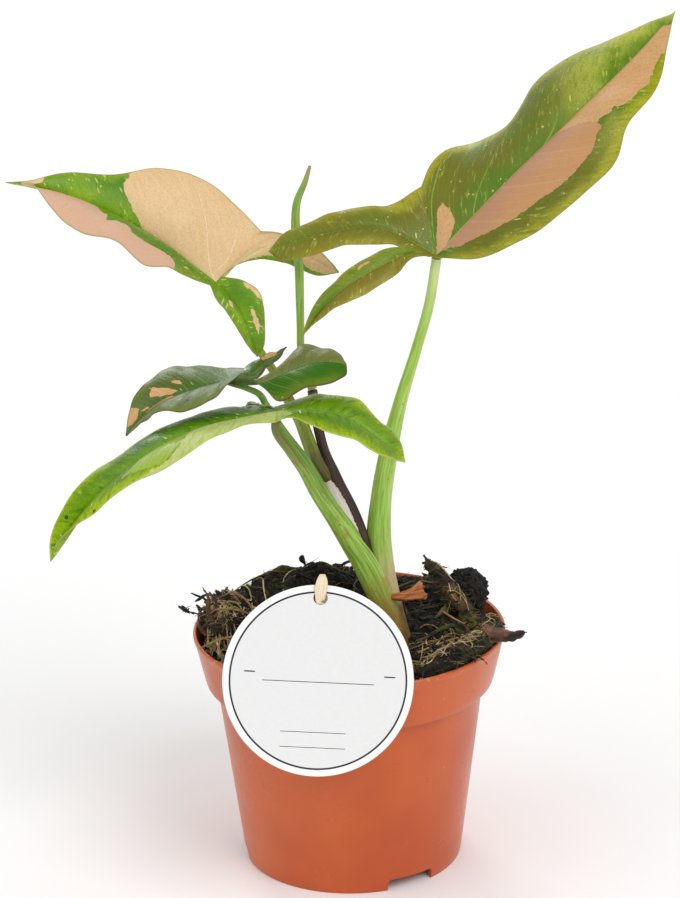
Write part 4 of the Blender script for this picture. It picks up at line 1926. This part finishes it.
@dataclass
class Litter:
    """Moss, bark and a clod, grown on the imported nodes' own forms; lines are x, y, z and radius."""

    seed: int = 7
    arches: tuple = (
        ((-56.4, -22, 94.2, 0.3), (-51, -26, 98.4, 0.4), (-46, -28.5, 101, 0.42), (-40, -30, 102, 0.3)),
        ((-54, -6, 101, 0.3), (-49, -12, 106, 0.42), (-42, -15, 106.5, 0.4), (-36, -12, 103, 0.3)),
        ((-50, 4, 104, 0.3), (-44, -2, 108.5, 0.4), (-38, -9, 107, 0.4), (-35, -16, 102, 0.3)))
    spikes: tuple = (
        ((-51.5, -8, 98, 1.2), (-53.6, -7, 104, 1.0), (-53.4, -7, 109, 0.6), (-55.4, -8, 113.5, 0.2)),
        ((-50, -6, 101, 0.8), (-50.8, -4, 106, 0.6), (-53.2, -4, 110, 0.2)),
        ((-54.5, -13, 96, 0.8), (-57.2, -13, 100, 0.5), (-57.0, -13, 104, 0.2)))
    tip: tuple = ((32.5, 14.5, 110, 1.5), (31.2, 15.4, 112.6, 1.1), (29.4, 16.4, 115.4, 0.25))
    splinter: tuple = ((51, -21.5, 94.8, 0.9), (56, -22.8, 95.6, 1.4), (61, -23.4, 96.6, 1.1),
                       (64, -23.4, 97.6, 0.6), (66.9, -23.2, 98.6, 0.15))

    def core(self, shop: Shop, node: str, name: str, grain: float, push: float) -> bpy.types.Object:
        """A roughened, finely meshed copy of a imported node.

        Args:
            shop: makes the mesh.
            node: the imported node.
            name: the piece's name.
            grain: size of the mesh's cells in millimetres.
            push: how far noise pushes its surface, in millimetres.

        Returns:
            The closed mesh object.
        """
        obj = shop.copy_of(node, name)
        step = obj.modifiers.new("even", "REMESH")
        step.mode = "VOXEL"
        step.voxel_size = grain * MM
        data = shop.baked(obj).data
        self.drop_scraps(data)
        points = read(data, "co")
        shove = rough_noise(points / MM, 0.45, self.seed) + 0.6 * rough_noise(points / MM, 1.1, 3.0)
        points = points + read(data, "normal") * (shove * push * MM)[:, None]
        data.vertices.foreach_set("co", points.ravel())
        data.update()
        data.shade_smooth()
        return obj

    @staticmethod
    def drop_scraps(data: bpy.types.Mesh) -> None:
        """Remove all but the largest connected part of a mesh."""
        with opened(data) as shape:
            left, parts = set(range(len(shape.verts))), []
            while left:
                stack, part = [left.pop()], []
                while stack:
                    number = stack.pop()
                    part.append(number)
                    for edge in shape.verts[number].link_edges:
                        other = edge.other_vert(shape.verts[number]).index
                        if other in left:
                            left.remove(other)
                            stack.append(other)
                parts.append(part)
            parts.sort(key=len)
            lost = [shape.verts[number] for part in parts[:-1] for number in part]
            bmesh.ops.delete(shape, geom=lost, context="VERTS")

    def build(self, shop: Shop, peat: bpy.types.Object) -> None:
        """Make and dress every piece of litter.

        Args:
            shop: makes and dresses the pieces.
            peat: the peat that they lie on.
        """
        bark = TonedFinish("mossy bark", (28, 21, 14), (112, 90, 54), (96, 102, 40), 0.12, toned=False)
        chip = TonedFinish("bark chip", (44, 26, 20), (124, 82, 60), (150, 112, 84), 0.03, toned=False,
                           scale=420.0, depth=0.0009)
        clod = TonedFinish("peat clod", (12, 9, 8), (34, 25, 20), (30, 26, 18), 0.0, toned=False)
        moss = TonedFinish("moss mat", (11, 9, 7), (44, 34, 20), (52, 60, 24), 0.14, toned=False)
        cores = {}
        for node, name, grain, push, finish in (
            ("bark_strip", "mossy_bark", 0.6, 0.8, bark), ("bark_chip", "thin_chip", 0.4, 0.5, chip),
            ("peat_clod", "crumbly_clod", 0.7, 1.3, clod), ("moss_tuft", "left_moss", 0.5, 0.5, moss),
            ("moss_clump", "right_moss", 0.5, 0.5, moss),
        ):
            cores[node] = self.core(shop, node, name, grain, push)
            shop.declare(cores[node], finish.build(), node)
        for node, name, tube, finish in (
            ("bark_strip", "bark_tip", Tube(self.tip, 40, 10, rough=0.4, grain=0.8), bark),
            ("bark_chip", "chip_splinter", Tube(self.splinter, 60, 10, rough=0.5, grain=0.6), chip),
        ):
            shop.declare(tube.build(shop, name), finish.build(), node)
        self.dress(shop, cores)
        self.tangle(shop, peat, cores)

    def dress(self, shop: Shop, cores: dict[str, bpy.types.Object]) -> None:
        """Strew shards, crumbs and moss over the litter.

        Args:
            shop: makes and dresses the pieces.
            cores: the litter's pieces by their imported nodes.
        """
        straw = TonedFinish("dry moss fibres", (46, 33, 20), (198, 164, 110), (98, 100, 40), 0.1, 0.8)
        green = TonedFinish("moss fibres", (40, 38, 18), (132, 128, 58), (150, 118, 72), 0.08, 0.8)
        shard = TonedFinish("brown bits", (22, 15, 11), (86, 62, 40), (70, 72, 32), 0.06)
        grit = TonedFinish("clod crumbs", (10, 8, 8), (44, 33, 26), (30, 26, 18), 0.0)
        for node, name, bits, finish in (
            ("bark_strip", "bark_fuzz", Fibres(170000.0, 6.0, 0.14), green),
            ("bark_strip", "bark_shards", Crumbs(150000.0, 0.3, 0.8, 5.0, 0.6), shard),
            ("peat_clod", "clod_crumbs", Crumbs(2500000.0, 0.4, 1.6), grit),
            ("moss_tuft", "left_straw", Fibres(150000.0, 9.0, 0.15), straw),
            ("moss_tuft", "left_shards", Crumbs(260000.0, 0.35, 1.1, 5.0, 1.1), shard),
            ("moss_clump", "right_straw", Fibres(120000.0, 8.0, 0.15), green),
            ("moss_clump", "right_shards", Crumbs(200000.0, 0.35, 1.0, 5.0, 0.8), shard),
        ):
            shop.strew(bits, cores[node], name, finish, node)

    def tangle(self, shop: Shop, peat: bpy.types.Object, cores: dict[str, bpy.types.Object]) -> None:
        """Drape roots over the litter, with torn spikes and arching roots in the left tuft.

        Args:
            shop: makes and dresses the pieces.
            peat: the peat under the litter.
            cores: the litter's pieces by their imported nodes.
        """
        roots = TonedFinish("curly roots", (124, 94, 58), (240, 214, 166), (130, 130, 58), 0.1, 0.75,
                            scale=900.0)
        dark = TonedFinish("dark roots", (34, 30, 16), (104, 96, 50), (64, 72, 28), 0.12, 0.8)
        torn = TonedFinish("torn bark", (44, 28, 20), (132, 98, 70), (84, 62, 40), 0.2, toned=False)
        strip = cores["bark_strip"]
        every = [peat, strip, cores["moss_tuft"], cores["moss_clump"]]
        for strands, surfaces, finish, node in (
            (Strands("left_roots", 80, (-57, -29, -34, 7), (12, 40), (0.18, 0.42), seed=4),
             every, roots, "moss_tuft"),
            (Strands("right_roots", 60, (18, 56, -50, 2), (10, 36), (0.16, 0.38), 0.09, seed=9),
             every, roots, "moss_clump"),
            (Strands("rim_roots", 44, (16, 52, -54, -24), (8, 24), (0.13, 0.3), 0.06, seed=15),
             every, roots, "moss_clump"),
            (Strands("strip_roots", 44, (29, 50, -8, 18), (8, 22), (0.16, 0.36), 0.1, 1.2, 12),
             [strip], roots, "bark_strip"),
            (Strands("soil_roots", 70, (-34, 44, -20, 48), (10, 34), (0.2, 0.5), 0.1, 1.6, 21),
             [peat], dark, "soil"),
        ):
            strands.build(shop, surfaces, finish, node)
        for name, paths, tube, finish in (
            ("torn_spike", self.spikes, Tube((), 40, 9, rough=0.35, grain=0.7), torn),
            ("arching_root", self.arches, Tube((), 60, 8, rough=0.1, grain=0.6), roots),
        ):
            shop.lay(name, paths, tube, finish.build(), "moss_tuft")


# ---------------------------------------------------------------- tag and tie


@dataclass
class Tag:
    """Round card that leans on the rim, and the flat strip through its hole."""

    radius: float = 35.1
    thickness: float = 0.8
    lean: float = 19.0
    centre: tuple = (-11.9, 96.0)
    hole_up: float = 30.3
    hole_side: float = 1.6
    hole_radius: float = 2.6
    ring: float = 32.4
    tie_thickness: float = 0.7
    gap: float = 0.3
    sides: int = 256
    soft: float = 0.12

    def axes(self) -> tuple[np.ndarray, np.ndarray]:
        """The card's up direction and the direction in which its front looks."""
        lean = math.radians(self.lean)
        return (np.array((0, math.sin(lean), math.cos(lean))),
                np.array((0, -math.cos(lean), math.sin(lean))))

    def middle(self, pot: Pot) -> np.ndarray:
        """Centre of the card, whose back rests against the rim's front."""
        lean = math.radians(self.lean)
        x, z = self.centre
        back = (self.gap + self.thickness / 2) / math.cos(lean)
        return np.array((x, -pot.rim - back + (z - pot.top) * math.tan(lean), z))

    def build(self, shop: Shop, pot: Pot) -> None:
        """Make and dress the card and its strip.

        Args:
            shop: makes the meshes.
            pot: the pot whose rim the card leans on.
        """
        up, out = self.axes()
        centre = self.middle(pot)
        turn, sides = turns(self.sides), self.sides
        circle = np.stack([np.cos(turn), np.sin(turn)], 1)
        inner = np.array((self.hole_side, self.hole_up)) + circle * self.hole_radius
        outer = circle * self.radius
        # Each ring runs from the hole's edge to the card's edge, on the front and the back
        rings = self.inset([inner * (1 - share) + outer * share for share in np.linspace(0, 1, 9)])
        face = self.thickness / 2
        wall = face - self.soft
        shell = [(inner, -wall), (inner, wall), *((ring, face) for ring in rings),
                 (outer, wall), (outer, -wall), *((ring, -face) for ring in reversed(rings))]
        points, card, faces = [], [], []
        for ring, depth in shell:
            for x, y in ring:
                points.append(centre + np.array((x, 0, 0)) + up * y + out * depth)
                card.append((x, y, 1.0 if depth > 0 else 0.0))
        for k in range(len(shell)):
            n = (k + 1) % len(shell)
            for s in range(sides):
                t = (s + 1) % sides
                faces.append((k * sides + s, k * sides + t, n * sides + t, n * sides + s))
        obj = shop.mesh("card", np.array(points), faces, 30.0)
        shop.keep(obj, "card", np.array(card), Domain.POINT)
        shop.declare(obj, CardFinish(self.ring).build(), "tag")
        self.tie(shop, centre, up, out)

    def inset(self, rings: list) -> list:
        """The rings with the first and last drawn in from the edges to round them."""
        ends = []
        for edge, near in ((rings[0], rings[1]), (rings[-1], rings[-2])):
            ends.append(edge + (near - edge) * (self.soft / np.linalg.norm(near - edge, axis=1))[:, None])
        return [ends[0], *rings[1:-1], ends[1]]

    def tie(self, shop: Shop, centre: np.ndarray, up: np.ndarray, out: np.ndarray) -> None:
        """The strip: up behind the card, over its edge, through its hole and down again.

        Args:
            shop: makes the mesh.
            centre: the card's centre.
            up: the card's up direction.
            out: where the card's front looks.
        """
        clear = self.thickness / 2 + self.gap + self.tie_thickness / 2 + 0.15
        hole = centre + up * self.hole_up + np.array((self.hole_side, 0, 0))
        edge = self.radius - self.hole_up
        slant = np.array((0.9, 0, 0))
        back = -out
        # Place, width and facing of the strip, from its end behind the card to its other end
        rows = (
            ((hole[0] + 0.6, -36.5, 78), 4.0, back),
            ((hole[0] + 0.6, -37.5, 96), 4.2, back),
            (hole - out * (clear + 4.0) + up * (edge - 3.5) + slant, 3.4, back),
            (hole - out * (clear + 1.2) + up * (edge + 1.5) + slant, 2.2, up - out),
            (hole + up * (edge + 3.6) + slant, 1.8, up),
            (hole + out * (clear + 0.5) + up * (edge + 0.8) + slant * 0.7, 4.3, out),
            (hole + out * clear + up * 3.0 + slant * 0.2, 4.5, out),
            (hole + out * 0.3 + up * 0.2 - slant * 0.2, 3.6, up * 0.3 + out),
            (hole - out * (clear + 0.6) - up * 3.0, 3.2, up + out * 0.2),
            (hole - out * (clear + 0.8) - up * 9.0, 3.2, out),
            ((hole[0], -43.5, 98), 3.4, out),
            ((hole[0], -42.0, 78), 3.4, out),
        )
        sheet = strip_sheet(*zip(*rows), 220)
        finish = ThinFinish("cream paper strip", (240, 224, 196), (226, 204, 170), (214, 190, 152), 0.65, 0.3)
        shop.declare(sheet.solid(shop, "paper_strip", self.tie_thickness * 0.8), finish.build(), "tie")


# ---------------------------------------------------------------- studio


@dataclass
class Studio:
    """Pale floor, soft lights and the camera.

    Angles are in degrees, lengths in millimetres and the focal length in pixels of the picture. A
    sun is its name, the direction that it comes from, its spread and its strength.
    """

    elevation: float = 19.0
    roll: float = -1.2
    distance: float = 1200.0
    focal: float = 3183.0
    target: tuple = (-2.05, 0.0, 165.0)
    frame_height: int = 898
    sensor: float = 24.0
    floor_reach: float = 9.0
    surroundings: float = 0.66
    suns: tuple = (("key", (0.45, -0.62, 0.75), 34.0, 1.2), ("left", (-0.8, -0.4, 0.7), 50.0, 0.4),
                   ("back", (-0.25, 0.9, 0.55), 26.0, 0.6))

    def build(self, shop: Shop) -> None:
        """Set up the floor, the world, the lights and the camera."""
        self.floor()
        self.lights()
        self.camera(shop)
        bpy.context.scene.view_settings.view_transform = "Standard"

    def floor(self) -> None:
        """A wide pale floor with a faint unevenness."""
        far, data = self.floor_reach, bpy.data.meshes.new("floor")
        data.from_pydata([(-far, -far, 0), (far, -far, 0), (far, far, 0), (-far, far, 0)], [], [(0, 1, 2, 3)])
        f = Finish("pale floor")
        colour = f.blend(f.cloud(3.0, 2.0), (246, 246, 246), (249, 249, 249))
        data.materials.append(f.surface(Base_Color=colour, Roughness=0.85))
        linked("floor", data)

    def lights(self) -> None:
        """White surroundings and three broad suns: front right, front left and behind."""
        world = bpy.data.worlds.new("studio")
        world.use_nodes = True
        sky = world.node_tree.nodes["Background"].inputs
        sky["Color"].default_value = (1, 1, 1, 1)
        sky["Strength"].default_value = self.surroundings
        bpy.context.scene.world = world
        for name, toward, spread, power in self.suns:
            lamp = bpy.data.lights.new(name, "SUN")
            lamp.angle = math.radians(spread)
            lamp.energy = power
            linked(name, lamp).rotation_euler = (-Vector(toward)).to_track_quat("-Z", "Y").to_euler()

    def camera(self, shop: Shop) -> None:
        """The camera, at the height, lean and distance of the view from the front."""
        tilt, roll = math.radians(self.elevation), math.radians(self.roll)
        back = np.array((0, -math.cos(tilt), math.sin(tilt)))
        right, up = np.array((1.0, 0, 0)), np.array((0, math.sin(tilt), math.cos(tilt)))
        across = math.cos(roll) * right + math.sin(roll) * up
        upward = -math.sin(roll) * right + math.cos(roll) * up
        spot = (np.array(self.target) + back * self.distance) * MM + shop.shift
        turn = Matrix(np.column_stack([across, upward, back]).tolist()).to_4x4()
        data = bpy.data.cameras.new("camera")
        data.sensor_fit = "VERTICAL"
        data.sensor_height = self.sensor
        data.lens = self.focal * self.sensor / self.frame_height
        obj = linked("camera", data)
        obj.matrix_world = Matrix.Translation(Vector(spot)) @ turn
        bpy.context.scene.camera = obj


def main() -> None:
    """Build every part of the object and its studio."""
    shop, pot = Shop(), Pot()
    pot.build(shop)
    peat = Soil().build(shop, pot)
    Litter().build(shop, peat)
    seats = {leaf.name: leaf.build(shop) for leaf in (LEAF_RIGHT, LEAF_LEFT, LEAF_MIDDLE, LEAF_FRONT)}
    Stalks().build(shop, seats)
    DryParts().build(shop)
    Tag().build(shop, pot)
    Studio().build(shop)
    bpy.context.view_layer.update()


if __name__ == "__main__":
    logging.basicConfig(level=logging.INFO, format="%(message)s")
    main()
